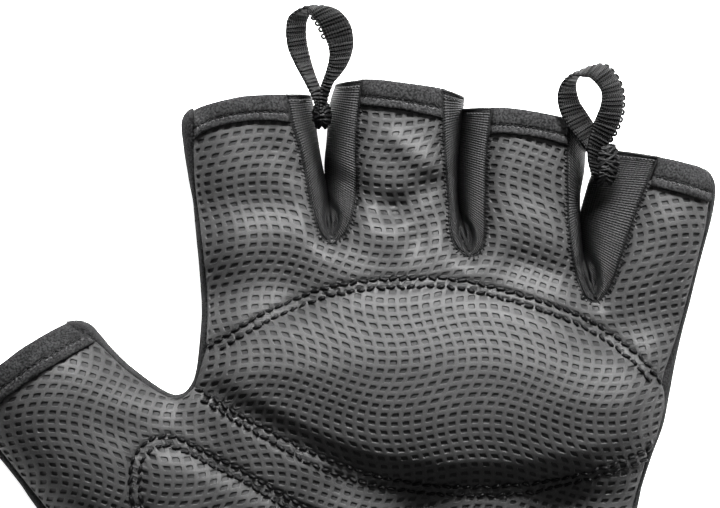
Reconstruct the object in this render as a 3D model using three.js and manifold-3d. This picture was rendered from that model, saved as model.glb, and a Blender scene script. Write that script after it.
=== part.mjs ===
// Fingerless weightlifting glove for the left hand, lying on its back with the palm up.
// Millimetres. +X runs from the thumb to the little finger, +Y towards the fingertips and +Z up out of the palm.
// The origin is on the surface that the glove lies on, under the middle of the palm pad.
import * as THREE from "three";
import Module from "manifold-3d";

// Plan sizes.
const PALM_WIDTH = 104; // across the knuckles
const FINGER_REACH = 68; // from the origin to the middle finger's opening
const WRIST_REACH = 78; // from the origin to the cuff
const CUFF_LENGTH = 20;
const THUMB_OUT = 50; // how far the thumb stands out beyond the side of the palm
const THUMB_RISE = 17; // how far the thumb opening's inner corner lies above the crotch

// Heights and edges.
const BODY_HEIGHT = 24; // grip leather above the table at the middle of the palm
const EDGE_DROP = 7.5; // how far the leather rolls down to the side seam
const EDGE_REACH = 10; // how far in from the side seam that roll starts
const SLOT_DROP = 3.4; // the same roll beside a finger gusset
const SLOT_REACH = 6;
const RIM_SHOWN = 0.6; // how far in the back fabric's upper edge lies
const RIM_ROUND = 4; // how far the back tucks under to the table
const RIM_SEAM = 0.5; // overlap of the back's flat part and its sides
const RIM_RISE = 0; // the back fabric's upper edge above the leather's edge

// Walls and gaps.
const CLEAR = 0.3; // between neighbouring pieces
const PALM_WALL = 1.8;
const BACK_WALL = 1.2;
const GUSSET_WALL = 1.1;
const CUFF_WALL = 2.2;
const HEM_WALL = 1;
const HEM_DEPTH = 6.3; // fold-over hem, from the opening's edge
const PALM_PAD_THICKNESS = 4.6;
const HEEL_PAD_THICKNESS = 3.4;

// Gussets between the fingers.
const SLOT_RADIUS = 2.8; // round bottom of each gap between two fingers
const GUSSET_FOOT = 0.4; // lower edge above the table
const FOOT_GAP = 0.8; // between the two faces at the bottom of a gap

// Wrist strap.
const STRAP_WIDTH = 15;
const STRAP_WALL = 1.6;
const STRAP_START = -0.1; // turn about the cuff where it starts, in radians from the little finger's side
const STRAP_TURN = 2.9;

// Pull loops.
const RIBBON_WIDTH = 6.2;
const RIBBON_THICKNESS = 0.8;
const TACK_LENGTH = 2.2;
const TACK_BACK = 0.7; // the same, behind the ribbon's ends
const TACK_SHARE = 0.9; // of the ribbon's width
const TACK_PROUD = 0.15; // thread that stands out of the ribbon's faces
const LOOP_SWELL = 1.66; // brings a loop's widest place up to its half width

// How fine the surfaces are.
const SHEET_STEP = 4.5;
const FACET_TOLERANCE = 0.05;
const SKY = 60; // above everything

const HALF_WIDTH = PALM_WIDTH / 2;
const FULL_TURN = 2 * Math.PI;

// Plan points are shares of the sizes that they follow. A row's zone says which:
// finger rows follow half the palm's width and the finger reach, heel rows the wrist reach,
// thumb rows run out from the palm's thumb side, ball rows also follow the wrist reach.
const ZONES = {
  finger: (across, along) => [across * HALF_WIDTH, along * FINGER_REACH],
  heel: (across, along) => [across * HALF_WIDTH, -along * WRIST_REACH],
  thumb: (across, along) => [-HALF_WIDTH - across * THUMB_OUT, along * THUMB_RISE],
  ball: (across, along) => [-HALF_WIDTH - across * THUMB_OUT, -along * WRIST_REACH],
};

const CUFF_END = 1 + (CUFF_LENGTH + 6) / WRIST_REACH; // past the cuff, where the outline is cut off

// The glove's outer edge seen from above, in three runs, each passing beyond the openings that cut it.
const LITTLE_SIDE = [
  { zone: "finger", across: 1.15, along: 0.82 },
  { zone: "finger", across: 1.115, along: 0.662 },
  { zone: "finger", across: 1.071, along: 0.479 },
  { zone: "finger", across: 1.01, along: 0.294 },
  { zone: "finger", across: 0.95, along: 0.109 },
  { zone: "heel", across: 0.9, along: 0.068 },
  { zone: "heel", across: 0.819, along: 0.229 },
  { zone: "heel", across: 0.77, along: 0.45 },
  { zone: "heel", across: 0.712, along: 0.744 },
  { zone: "heel", across: 0.665, along: 1 },
  { zone: "heel", across: 0.665, along: CUFF_END },
];
const THUMB_OUTER_SIDE = [
  { zone: "heel", across: -0.87, along: CUFF_END },
  { zone: "heel", across: -0.885, along: 1 },
  { zone: "heel", across: -0.985, along: 0.846 },
  { zone: "ball", across: 0.2, along: 0.68 },
  { zone: "ball", across: 0.44, along: 0.487 },
  { zone: "ball", across: 0.682, along: 0.269 },
  { zone: "ball", across: 0.82, along: 0.135 },
  { zone: "thumb", across: 0.99, along: 0 },
  { zone: "thumb", across: 1.13, along: 0.62 },
];
const INDEX_SIDE = [
  { zone: "thumb", across: 0.6, along: 1.44 },
  { zone: "thumb", across: 0.46, along: 1 },
  { zone: "thumb", across: 0.338, along: 0.618 },
  { zone: "thumb", across: 0.19, along: 0.247 },
  { zone: "thumb", across: 0.1, along: 0.09 },
  { zone: "thumb", across: 0.03, along: 0.08 },
  { zone: "finger", across: -0.99, along: 0.07 },
  { zone: "finger", across: -0.97, along: 0.15 },
  { zone: "finger", across: -0.966, along: 0.26 },
  { zone: "finger", across: -0.975, along: 0.39 },
  { zone: "finger", across: -0.998, along: 0.572 },
  { zone: "finger", across: -1.035, along: 0.757 },
  { zone: "finger", across: -1.052, along: 0.86 },
  { zone: "finger", across: -1.08, along: 1.06 },
];

// One gap between two fingers each: the middle of its round bottom, where its two seams meet the openings,
// the clear gap there, and how much of the rest the left gusset face fills.
const SLOTS = [
  {
    name: "index_middle", foot: [-0.448, 0.532], left: [-0.621, 0.946], right: [-0.319, 0.998],
    gap: 4, leftShare: 0.44,
  },
  {
    name: "middle_ring", foot: [0.123, 0.496], left: [0.004, 0.968], right: [0.21, 0.905],
    gap: 1.3, leftShare: 0.45,
  },
  {
    name: "ring_little", foot: [0.638, 0.35], left: [0.517, 0.86], right: [0.892, 0.757],
    gap: 3, leftShare: 0.2,
  },
];

// The edge of each finger's opening, from the thumb's side to the little finger's.
const TIPS = [
  { finger: "index", edge: [[-1.2, 0.81], [-1.04, 0.872], [-0.929, 0.915], [-0.808, 0.935], [-0.621, 0.946]] },
  { finger: "middle", edge: [[-0.4, 0.985], [-0.319, 0.998], [0.004, 0.968]] },
  { finger: "ring", edge: [[0.21, 0.905], [0.506, 0.874]] },
  { finger: "little", edge: [[0.892, 0.757], [1.01, 0.735], [1.083, 0.704], [1.115, 0.666], [1.22, 0.6]] },
];

// Height along the hand, as a share of the body's height.
const PROFILE = [
  { along: -1.4, height: 0.9 },
  { along: -1, height: 0.93 },
  { along: -0.4, height: 1.02 },
  { along: 0.1, height: 1 },
  { along: 0.5, height: 0.91 },
  { along: 1, height: 0.82 },
];

// Soft bulges and dents of the leather: a run between two plan points, its rise as a share of the body's
// height and its spread as a share of half the palm's width.
const FOLDS = [
  { name: "palm dome", from: [-0.5, 0], to: [0.5, 0], rise: 0.13, spread: 0.4 },
  { name: "heel dome", from: [-0.7, -0.72], to: [0.3, -0.78], rise: 0.1, spread: 0.4 },
  { name: "ball of the thumb", from: [-1.2, -0.35], to: [-1.62, 0.02], rise: 0.12, spread: 0.2 },
  { name: "thumb crease", from: [-0.95, 0.03], to: [-0.42, -0.17], rise: -0.13, spread: 0.09 },
  { name: "palm crease", from: [-0.42, -0.17], to: [0.42, -0.25], rise: -0.17, spread: 0.12 },
  { name: "outer crease", from: [0.42, -0.25], to: [0.84, -0.15], rise: -0.1, spread: 0.09 },
  { name: "index hollow", from: [-0.88, 0.49], to: [-0.68, 0.53], rise: -0.11, spread: 0.1 },
  { name: "index tip hollow", from: [-0.85, 0.68], to: [-0.74, 0.72], rise: -0.05, spread: 0.08 },
  { name: "middle fold", from: [-0.06, 0.78], to: [-0.12, 0.66], rise: 0.06, spread: 0.05 },
  { name: "middle hollow", from: [-0.24, 0.64], to: [-0.1, 0.56], rise: -0.08, spread: 0.07 },
  { name: "ring fold", from: [0.28, 0.75], to: [0.36, 0.52], rise: 0.05, spread: 0.08 },
  { name: "ring hollow", from: [0.42, 0.5], to: [0.5, 0.4], rise: -0.06, spread: 0.07 },
  { name: "little hollow", from: [0.8, 0.44], to: [0.92, 0.46], rise: -0.07, spread: 0.08 },
];

// The side of the back fabric, from the table up: how far it is tucked in, and its height as a share of the edge.
const RIM_SECTION = [
  { tuck: 1, rise: 0 },
  { tuck: 0.42, rise: 0.07 },
  { tuck: 0.08, rise: 0.28 },
  { tuck: 0, rise: 0.52 },
  { tuck: 0.08, rise: 0.8 },
  { tuck: RIM_SHOWN / RIM_ROUND, rise: 1 },
];

// A gusset face between its lower and upper seam: how far it bulges out into the gap and its rise, as shares.
const GUSSET_SECTION = [
  { out: 0, rise: 0 },
  { out: 0.6, rise: 0.1 },
  { out: 0.92, rise: 0.28 },
  { out: 1, rise: 0.5 },
  { out: 0.92, rise: 0.72 },
  { out: 0.6, rise: 0.9 },
  { out: 0, rise: 1 },
];

// The two quilted pads, round their edges.
const PALM_PAD_EDGE = [
  { zone: "finger", across: -0.94, along: 0.08 },
  { zone: "finger", across: -0.738, along: 0.228 },
  { zone: "finger", across: -0.44, along: 0.356 },
  { zone: "finger", across: -0.12, along: 0.384 },
  { zone: "finger", across: 0.227, along: 0.343 },
  { zone: "finger", across: 0.55, along: 0.262 },
  { zone: "finger", across: 0.79, along: 0.15 },
  { zone: "finger", across: 0.87, along: 0.02 },
  { zone: "heel", across: 0.8, along: 0.15 },
  { zone: "heel", across: 0.54, along: 0.208 },
  { zone: "heel", across: 0.1, along: 0.24 },
  { zone: "heel", across: -0.29, along: 0.203 },
  { zone: "heel", across: -0.7, along: 0.09 },
];
const HEEL_PAD_EDGE = [
  { zone: "ball", across: 0.1, along: 0.1 },
  { zone: "heel", across: -0.9, along: 0.159 },
  { zone: "heel", across: -0.63, along: 0.264 },
  { zone: "heel", across: -0.29, along: 0.33 },
  { zone: "heel", across: 0.2, along: 0.36 },
  { zone: "heel", across: 0.55, along: 0.33 },
  { zone: "heel", across: 0.68, along: 0.42 },
  { zone: "heel", across: 0.6, along: 0.72 },
  { zone: "heel", across: 0.38, along: 0.87 },
  { zone: "heel", across: -0.1, along: 0.9 },
  { zone: "heel", across: -0.6, along: 0.86 },
  { zone: "heel", across: -0.92, along: 0.68 },
  { zone: "ball", across: 0.19, along: 0.4 },
  { zone: "ball", across: 0.255, along: 0.21 },
];

// A pad's crown: distance in from its edge, and thickness as a share.
const PAD_CROWN = [
  { inward: -SHEET_STEP, thick: 0.06 },
  { inward: 0, thick: 0.34 },
  { inward: 4.5, thick: 0.68 },
  { inward: 9, thick: 0.88 },
  { inward: 15, thick: 1 },
];

// The webbing pull loops: the gap that holds each, how far up it the tack sits and how far over to the little
// finger's side of its middle, the tack's height, the loop's length and half width, how far apart its ends are,
// how far its top lies on its face (radians), and its lean and roll to that side (degrees).
const LOOPS = [
  {
    name: "index_middle_pull_loop", slot: 0, seat: 0.9, over: 0, height: 16.4, length: 17.6,
    halfWidth: 4.9, spread: 1.5, tilt: 0.95, lean: 0, roll: 0,
  },
  {
    name: "ring_little_pull_loop", slot: 2, seat: 0.74, over: 3.4, height: 18.6, length: 20.2,
    halfWidth: 5.3, spread: 1.5, tilt: 0.95, lean: -8, roll: 28,
  },
];
const LOOP_STEPS = 26;
const LOOP_PINCH = 1.2; // how sharply a loop narrows to its tack
const LOOP_TURN = 0.8; // how late it turns onto its face

const wasm = await Module();
wasm.setup();

// Turning point grids into closed solids, and solids into meshes.

function solidFrom(points, triangles) {
  const vertProperties = new Float32Array(points.length * 3);
  points.forEach((p, i) => vertProperties.set([p.x, p.y, p.z], i * 3));
  let volume = 0;
  const cross = new THREE.Vector3();
  for (const [a, b, c] of triangles) volume += points[a].dot(cross.crossVectors(points[b], points[c]));
  const outward = volume > 0 ? triangles : triangles.map(([a, b, c]) => [a, c, b]);
  const triVerts = new Uint32Array(outward.flat());
  return new wasm.Manifold(new wasm.Mesh({ numProp: 3, vertProperties, triVerts }));
}

// The solid between two grids of points that have the same rows and columns.
function between(upper, lower) {
  const rows = upper.length;
  const columns = upper[0].length;
  const points = [...upper.flat(), ...lower.flat()];
  const at = (side, row, column) => side * rows * columns + row * columns + column;
  const triangles = [];
  const quad = (a, b, c, d) => triangles.push([a, b, c], [a, c, d]);
  for (let i = 0; i + 1 < rows; i++) {
    for (let j = 0; j + 1 < columns; j++) {
      quad(at(0, i, j), at(0, i + 1, j), at(0, i + 1, j + 1), at(0, i, j + 1));
      quad(at(1, i, j), at(1, i, j + 1), at(1, i + 1, j + 1), at(1, i + 1, j));
    }
    quad(at(0, i, 0), at(1, i, 0), at(1, i + 1, 0), at(0, i + 1, 0));
    const last = columns - 1;
    quad(at(0, i, last), at(0, i + 1, last), at(1, i + 1, last), at(1, i, last));
  }
  for (let j = 0; j + 1 < columns; j++) {
    quad(at(0, 0, j), at(0, 0, j + 1), at(1, 0, j + 1), at(1, 0, j));
    const last = rows - 1;
    quad(at(0, last, j), at(1, last, j), at(1, last, j + 1), at(0, last, j + 1));
  }
  return solidFrom(points, triangles);
}

// The solid inside a pile of closed outlines, each with as many points as the next.
function stack(levels) {
  const count = levels[0].length;
  const points = levels.flat();
  const triangles = [];
  for (let level = 0; level + 1 < levels.length; level++) {
    for (let i = 0; i < count; i++) {
      const next = (i + 1) % count;
      const [a, b] = [level * count + i, level * count + next];
      triangles.push([a, b, b + count], [a, b + count, a + count]);
    }
  }
  const caps = [levels[0], levels.at(-1)].map((outline) => THREE.ShapeUtils.triangulateShape(
    outline.map((p) => new THREE.Vector2(p.x, p.y)),
    [],
  ));
  const top = (levels.length - 1) * count;
  const turned = THREE.ShapeUtils.isClockWise(levels[0].map((p) => new THREE.Vector2(p.x, p.y)));
  for (const [a, b, c] of caps[0]) triangles.push(turned ? [a, b, c] : [a, c, b]);
  for (const [a, b, c] of caps[1]) triangles.push((turned ? [a, c, b] : [a, b, c]).map((i) => i + top));
  return solidFrom(points, triangles);
}

// An upright block over a plan outline.
function prism(outline, low = -SKY, high = SKY) {
  const level = (z) => outline.map((p) => new THREE.Vector3(p.x, p.y, z));
  return stack([level(low), level(high)]);
}

function meshOf(name, solid, material) {
  const made = solid.getMesh();
  const geometry = new THREE.BufferGeometry();
  geometry.setAttribute("position", new THREE.BufferAttribute(made.vertProperties, 3));
  geometry.setIndex(new THREE.BufferAttribute(made.triVerts, 1));
  geometry.computeVertexNormals();
  const mesh = new THREE.Mesh(geometry, material);
  mesh.name = name;
  return mesh;
}

// Plan geometry.

const planPoint = ({ zone, across, along }) => new THREE.Vector2(...ZONES[zone](across, along));
const fingerPoint = ([across, along]) => new THREE.Vector2(...ZONES.finger(across, along));
// A fold's ends lie on the finger side or the heel side of the origin by their sign.
const foldPoint = ([across, along]) => new THREE.Vector2(
  across * HALF_WIDTH,
  along * (along > 0 ? FINGER_REACH : WRIST_REACH),
);
const smoothRun = (rows, steps) => new THREE.SplineCurve(rows.map(planPoint)).getPoints(steps);

const SIDES = [smoothRun(LITTLE_SIDE, 20), smoothRun(THUMB_OUTER_SIDE, 15), smoothRun(INDEX_SIDE, 26)];
const ABOVE_TIPS = [[-1.1, 1.3], [1.2, 1.3]].map(fingerPoint);
const OUTLINE = [...SIDES.flat(), ...ABOVE_TIPS];

// Outward normals of a closed outline that runs clockwise seen from above.
function outwardNormals(outline) {
  return outline.map((p, i) => {
    const before = outline.at(i - 1);
    const after = outline[(i + 1) % outline.length];
    const along = after.clone().sub(before).normalize();
    return new THREE.Vector2(-along.y, along.x);
  });
}
const NORMALS = outwardNormals(OUTLINE);

function shifted(outline, normals, out) {
  return outline.map((p, i) => p.clone().addScaledVector(normals[i], out));
}

function distanceToRun(run, x, y) {
  let nearest = Infinity;
  for (let i = 0; i + 1 < run.length; i++) {
    const [a, b] = [run[i], run[i + 1]];
    const [dx, dy] = [b.x - a.x, b.y - a.y];
    const share = THREE.MathUtils.clamp(((x - a.x) * dx + (y - a.y) * dy) / (dx * dx + dy * dy), 0, 1);
    nearest = Math.min(nearest, Math.hypot(x - a.x - share * dx, y - a.y - share * dy));
  }
  return nearest;
}

function isInside(outline, x, y) {
  let inside = false;
  outline.forEach((a, i) => {
    const b = outline.at(i - 1);
    if (a.y > y !== b.y > y && x < ((b.x - a.x) * (y - a.y)) / (b.y - a.y) + a.x) inside = !inside;
  });
  return inside;
}

// The seams of a gap between two fingers: two straight runs that touch a round bottom.
const LINE_STEPS = 5;
const ARC_STEPS = 6;
function slotStations(slot) {
  const foot = fingerPoint(slot.foot);
  const spokeAt = (angle) => new THREE.Vector2(Math.cos(angle), Math.sin(angle));
  const touch = (corner, turn) => {
    const reach = corner.clone().sub(foot);
    const angle = reach.angle() + turn * Math.acos(SLOT_RADIUS / reach.length());
    return { corner, angle, point: foot.clone().addScaledVector(spokeAt(angle), SLOT_RADIUS) };
  };
  const left = touch(fingerPoint(slot.left), 1);
  const right = touch(fingerPoint(slot.right), -1);
  const width = left.corner.distanceTo(right.corner) - slot.gap;
  const stations = [];
  const line = ({ corner, angle, point }, side, bulge, share) => stations.push({
    point: point.clone().lerp(corner, share), into: spokeAt(angle).negate(), bulge, share, side,
  });
  for (let i = LINE_STEPS; i >= 0; i--) line(left, "left", width * slot.leftShare, i / LINE_STEPS);
  const sweep = (right.angle - left.angle + 2 * FULL_TURN) % FULL_TURN;
  for (let i = 1; i < ARC_STEPS; i++) {
    const spoke = spokeAt(left.angle + (sweep * i) / ARC_STEPS);
    const point = foot.clone().addScaledVector(spoke, SLOT_RADIUS);
    stations.push({ point, into: spoke.negate(), bulge: 0, share: 0, side: "foot" });
  }
  for (let i = 0; i <= LINE_STEPS; i++) line(right, "right", width * (1 - slot.leftShare), i / LINE_STEPS);
  return stations;
}
const SLOT_STATIONS = SLOTS.map(slotStations);
const SLOT_RUNS = SLOT_STATIONS.map((stations) => stations.map(({ point }) => point));

// A gap's plan outline, moved out from its seams and carried on past the openings.
function slotOutline(stations, out) {
  const moved = stations.map(({ point, into }) => point.clone().addScaledVector(into, -out));
  const onward = (a, b) => b.clone().add(b.clone().sub(a).setLength(2 * FINGER_REACH));
  return [onward(moved[1], moved[0]), ...moved, onward(moved.at(-2), moved.at(-1))];
}

// The openings' edges as outlines of everything beyond them.
const TIP_LINE = TIPS.flatMap(({ edge }) => edge.map(fingerPoint));
const THUMB_EDGE = [[0.2, 2.1], [0.46, 1], [0.548, 1], [0.99, 0], [1.3, -0.7]].map(
  ([across, along]) => new THREE.Vector2(...ZONES.thumb(across, along)),
);
const THUMB_AXIS = new THREE.Vector2(-0.52, 0.854);

function beyondTips(back) {
  const moved = TIP_LINE.map((p) => new THREE.Vector2(p.x, p.y - back));
  const far = 2 * FINGER_REACH;
  return prism([...moved, new THREE.Vector2(moved.at(-1).x, far), new THREE.Vector2(moved[0].x, far)]);
}
function beyondThumb(back) {
  const moved = THUMB_EDGE.map((p) => p.clone().addScaledVector(THUMB_AXIS, -back));
  const far = (p) => p.clone().addScaledVector(THUMB_AXIS, THUMB_OUT);
  return prism([...moved, far(moved.at(-1)), far(moved[0])]);
}

// The seam between the palm leather and the heel leather, from the thumb's side.
const PANEL_SEAM = [
  { zone: "finger", across: -1.3, along: 0.06 },
  { zone: "finger", across: -0.97, along: 0.03 },
  { zone: "heel", across: -0.69, along: 0.125 },
  { zone: "heel", across: -0.29, along: 0.225 },
  { zone: "heel", across: 0.1, along: 0.262 },
  { zone: "heel", across: 0.54, along: 0.23 },
  { zone: "heel", across: 0.8, along: 0.175 },
  { zone: "heel", across: 1.2, along: 0.12 },
];

// The leather's height over the table.

function shareAlong(rows, key, value, at) {
  const next = rows.findIndex((row) => row[key] >= at);
  if (next <= 0) return (next === 0 ? rows[0] : rows.at(-1))[value];
  const [a, b] = [rows[next - 1], rows[next]];
  return THREE.MathUtils.lerp(a[value], b[value], (at - a[key]) / (b[key] - a[key]));
}

// How far inside an outline a place is, negative outside it, measured to its real runs.
function inset(outline, runs, x, y) {
  const distance = Math.min(...runs.map((run) => distanceToRun(run, x, y)));
  return isInside(outline, x, y) ? distance : -distance;
}

// The drop towards an edge carries on for one step beyond it, so that the cut edge is smooth.
function rollOff(distance, reach, drop) {
  const share = 1 - THREE.MathUtils.clamp(distance / reach, -SHEET_STEP / reach, 1);
  return drop * share * share;
}

const heights = new Map();
function leatherHeight(x, y) {
  const key = `${x},${y}`;
  if (heights.has(key)) return heights.get(key);
  let height = BODY_HEIGHT * shareAlong(PROFILE, "along", "height", y / (y > 0 ? FINGER_REACH : WRIST_REACH));
  for (const { from, to, rise, spread } of FOLDS) {
    const away = distanceToRun([foldPoint(from), foldPoint(to)], x, y) / (spread * HALF_WIDTH);
    height += BODY_HEIGHT * rise * Math.exp(-away * away);
  }
  height -= rollOff(inset(OUTLINE, SIDES, x, y), EDGE_REACH, EDGE_DROP);
  const slot = Math.min(...SLOT_RUNS.map((run) => -inset(run, [run], x, y)));
  height -= rollOff(slot, SLOT_REACH, SLOT_DROP);
  heights.set(key, height);
  return height;
}

// A sheet over part of the plan, on one grid that all the sheets share.
const LOW_CORNER = new THREE.Vector2(-HALF_WIDTH - 1.3 * THUMB_OUT, -WRIST_REACH - SHEET_STEP);
const HIGH_CORNER = new THREE.Vector2(1.3 * HALF_WIDTH, 1.1 * FINGER_REACH);
function sheet(upper, lower) {
  const grid = (heightAt) => {
    const rows = [];
    for (let y = LOW_CORNER.y; y <= HIGH_CORNER.y; y += SHEET_STEP) {
      const row = [];
      for (let x = LOW_CORNER.x; x <= HIGH_CORNER.x; x += SHEET_STEP) {
        row.push(new THREE.Vector3(x, y, leatherHeight(x, y) + heightAt(x, y)));
      }
      rows.push(row);
    }
    return rows;
  };
  return between(grid(upper), grid(lower));
}

const slotPrisms = SLOT_STATIONS.map((stations) => prism(slotOutline(stations, GUSSET_WALL + CLEAR)));
const cutAll = (solid, cutters) => cutters.reduce((rest, cutter) => rest.subtract(cutter), solid);
const leatherInset = RIM_SHOWN + BACK_WALL + CLEAR;
const leatherOutline = shifted(OUTLINE, NORMALS, -leatherInset);
const aboveWrist = prism([
  new THREE.Vector2(-200, -WRIST_REACH + CLEAR), new THREE.Vector2(-200, 200),
  new THREE.Vector2(200, 200), new THREE.Vector2(200, -WRIST_REACH + CLEAR),
]);

// The palm side's leather, whole, before it is cut into panels and hems.
const leatherArea = cutAll(prism(leatherOutline).intersect(aboveWrist), slotPrisms);

function seamBlock(side) {
  const run = smoothRun(PANEL_SEAM, 24).map((p) => new THREE.Vector2(p.x, p.y + (side * CLEAR) / 2));
  const far = side * 2 * FINGER_REACH;
  return prism([...run, new THREE.Vector2(run.at(-1).x, far), new THREE.Vector2(run[0].x, far)]);
}
const thumbBlock = prism([
  new THREE.Vector2(-HALF_WIDTH - 3, 3), new THREE.Vector2(-HALF_WIDTH - 3, 60),
  new THREE.Vector2(-200, 60), new THREE.Vector2(-200, -200), new THREE.Vector2(-HALF_WIDTH - 3, -200),
]);

const leatherSheet = sheet(() => 0, () => -PALM_WALL);
const palmArea = leatherArea.intersect(seamBlock(1)).subtract(thumbBlock);
const heelArea = leatherArea.intersect(seamBlock(-1).add(thumbBlock));
const palmPanel = leatherSheet.intersect(palmArea).subtract(beyondTips(HEM_DEPTH + CLEAR));
const heelPanel = leatherSheet.intersect(heelArea).subtract(beyondThumb(HEM_DEPTH + CLEAR));

// Hems fold over the openings' edges.
const hemSheet = sheet(() => HEM_WALL / 2, () => -PALM_WALL - HEM_WALL / 2);
const tipHems = hemSheet.intersect(palmArea).intersect(beyondTips(HEM_DEPTH)).subtract(beyondTips(0));
const fingerHems = tipHems.decompose().sort((a, b) => a.boundingBox().min[0] - b.boundingBox().min[0]);
const thumbHem = hemSheet.intersect(heelArea).intersect(beyondThumb(HEM_DEPTH)).subtract(beyondThumb(0));

// Quilted pads lie on the leather.
function pad(edge, thickness) {
  const outline = new THREE.SplineCurve([...edge, edge[0]].map(planPoint)).getPoints(4 * edge.length).slice(1);
  const closed = [...outline, outline[0]];
  const crown = (x, y) => shareAlong(PAD_CROWN, "inward", "thick", inset(outline, [closed], x, y));
  const turned = THREE.ShapeUtils.isClockWise(outline) ? outline : outline.toReversed();
  const block = prism(turned).intersect(prism(shifted(OUTLINE, NORMALS, -leatherInset)));
  return sheet((x, y) => CLEAR + thickness * crown(x, y), () => CLEAR).intersect(block);
}

// Walls that rise from one seam to another along a run.
function wall(stations, section, thickness) {
  const shape = (station) => section.map(({ out, rise }) => [
    station.reach * out, station.low + (station.high - station.low) * rise,
  ]);
  const placed = ({ point, normal }, [out, z]) => new THREE.Vector3(
    point.x + normal.x * out, point.y + normal.y * out, z,
  );
  const outer = stations.map((station) => shape(station).map((spot) => placed(station, spot)));
  const inner = stations.map((station) => {
    const spots = shape(station);
    return spots.map(([out, z], i) => {
      const before = spots[Math.max(i - 1, 0)];
      const after = spots[Math.min(i + 1, spots.length - 1)];
      const along = new THREE.Vector2(after[0] - before[0], after[1] - before[1]).setLength(thickness);
      return placed(station, [out - along.y, z + along.x]);
    });
  });
  return between(outer, inner);
}

function gusset(stations) {
  return wall(stations.map(({ point, into, bulge, share }) => ({
    point,
    normal: into,
    reach: THREE.MathUtils.lerp(SLOT_RADIUS - FOOT_GAP / 2, bulge, share),
    low: GUSSET_FOOT,
    high: leatherHeight(point.x, point.y),
  })), GUSSET_SECTION, GUSSET_WALL);
}

const rimSection = RIM_SECTION.map(({ tuck, rise }) => ({ out: -tuck, rise }));
function rim(run) {
  const first = OUTLINE.indexOf(run[0]);
  return wall(run.map((point, i) => ({
    point,
    normal: NORMALS[first + i],
    reach: RIM_ROUND,
    low: 0,
    high: leatherHeight(point.x, point.y) + RIM_RISE,
  })), rimSection, BACK_WALL);
}
const floorOutline = shifted(OUTLINE, NORMALS, RIM_SEAM - RIM_ROUND);
const backPanel = cutAll(
  SIDES.reduce((whole, run) => whole.add(rim(run)), prism(floorOutline, 0, BACK_WALL)),
  [...slotPrisms, beyondTips(0), beyondThumb(0)],
).intersect(aboveWrist);

// The cuff is a flattened tube, and the strap lies over its palm side.
const CUFF_STEPS = 40;
const CUFF_SQUARENESS = 0.62;
const cuffLeft = ZONES.heel(-0.885, 1)[0];
const cuffRight = ZONES.heel(0.665, 1)[0];
const cuffHeight = BODY_HEIGHT * shareAlong(PROFILE, "along", "height", -1);
function cuffSpot(turn, out) {
  const bend = (value) => Math.sign(value) * Math.abs(value) ** CUFF_SQUARENESS;
  return new THREE.Vector2(
    (cuffLeft + cuffRight) / 2 + bend(Math.cos(turn)) * ((cuffRight - cuffLeft) / 2 + out),
    cuffHeight / 2 + bend(Math.sin(turn)) * (cuffHeight / 2 + out),
  );
}
function cuffBlock(out, start, end) {
  const ring = Array.from({ length: CUFF_STEPS }, (_, i) => cuffSpot((FULL_TURN * i) / CUFF_STEPS, out));
  const level = (along) => ring.map(({ x, y }) => new THREE.Vector3(x, y, along));
  return stack([level(-end), level(-start)]).rotate([90, 0, 0]);
}
const cuffStart = -WRIST_REACH;
const cuff = cuffBlock(0, cuffStart - CUFF_LENGTH, cuffStart)
  .subtract(cuffBlock(-CUFF_WALL, cuffStart - 2 * CUFF_LENGTH, cuffStart + CUFF_LENGTH));

function strap() {
  const middle = cuffStart - CUFF_LENGTH / 2;
  const steps = CUFF_STEPS / 2;
  const face = (out) => Array.from({ length: steps + 1 }, (_, i) => {
    const { x, y } = cuffSpot(STRAP_START + (STRAP_TURN * i) / steps, out);
    return [-1, 1].map((side) => new THREE.Vector3(x, middle + (side * STRAP_WIDTH) / 2, y));
  });
  return between(face(CLEAR + STRAP_WALL), face(CLEAR));
}

// Where a gusset's first face is at its fullest, at a share of the way up from the bottom of the gap.
function faceAt(stations, share) {
  const [top, foot] = [stations[0], stations[LINE_STEPS]];
  const bulge = THREE.MathUtils.lerp(SLOT_RADIUS - FOOT_GAP / 2, top.bulge, share);
  return foot.point.clone().lerp(top.point, share).addScaledVector(top.into, bulge);
}

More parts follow.
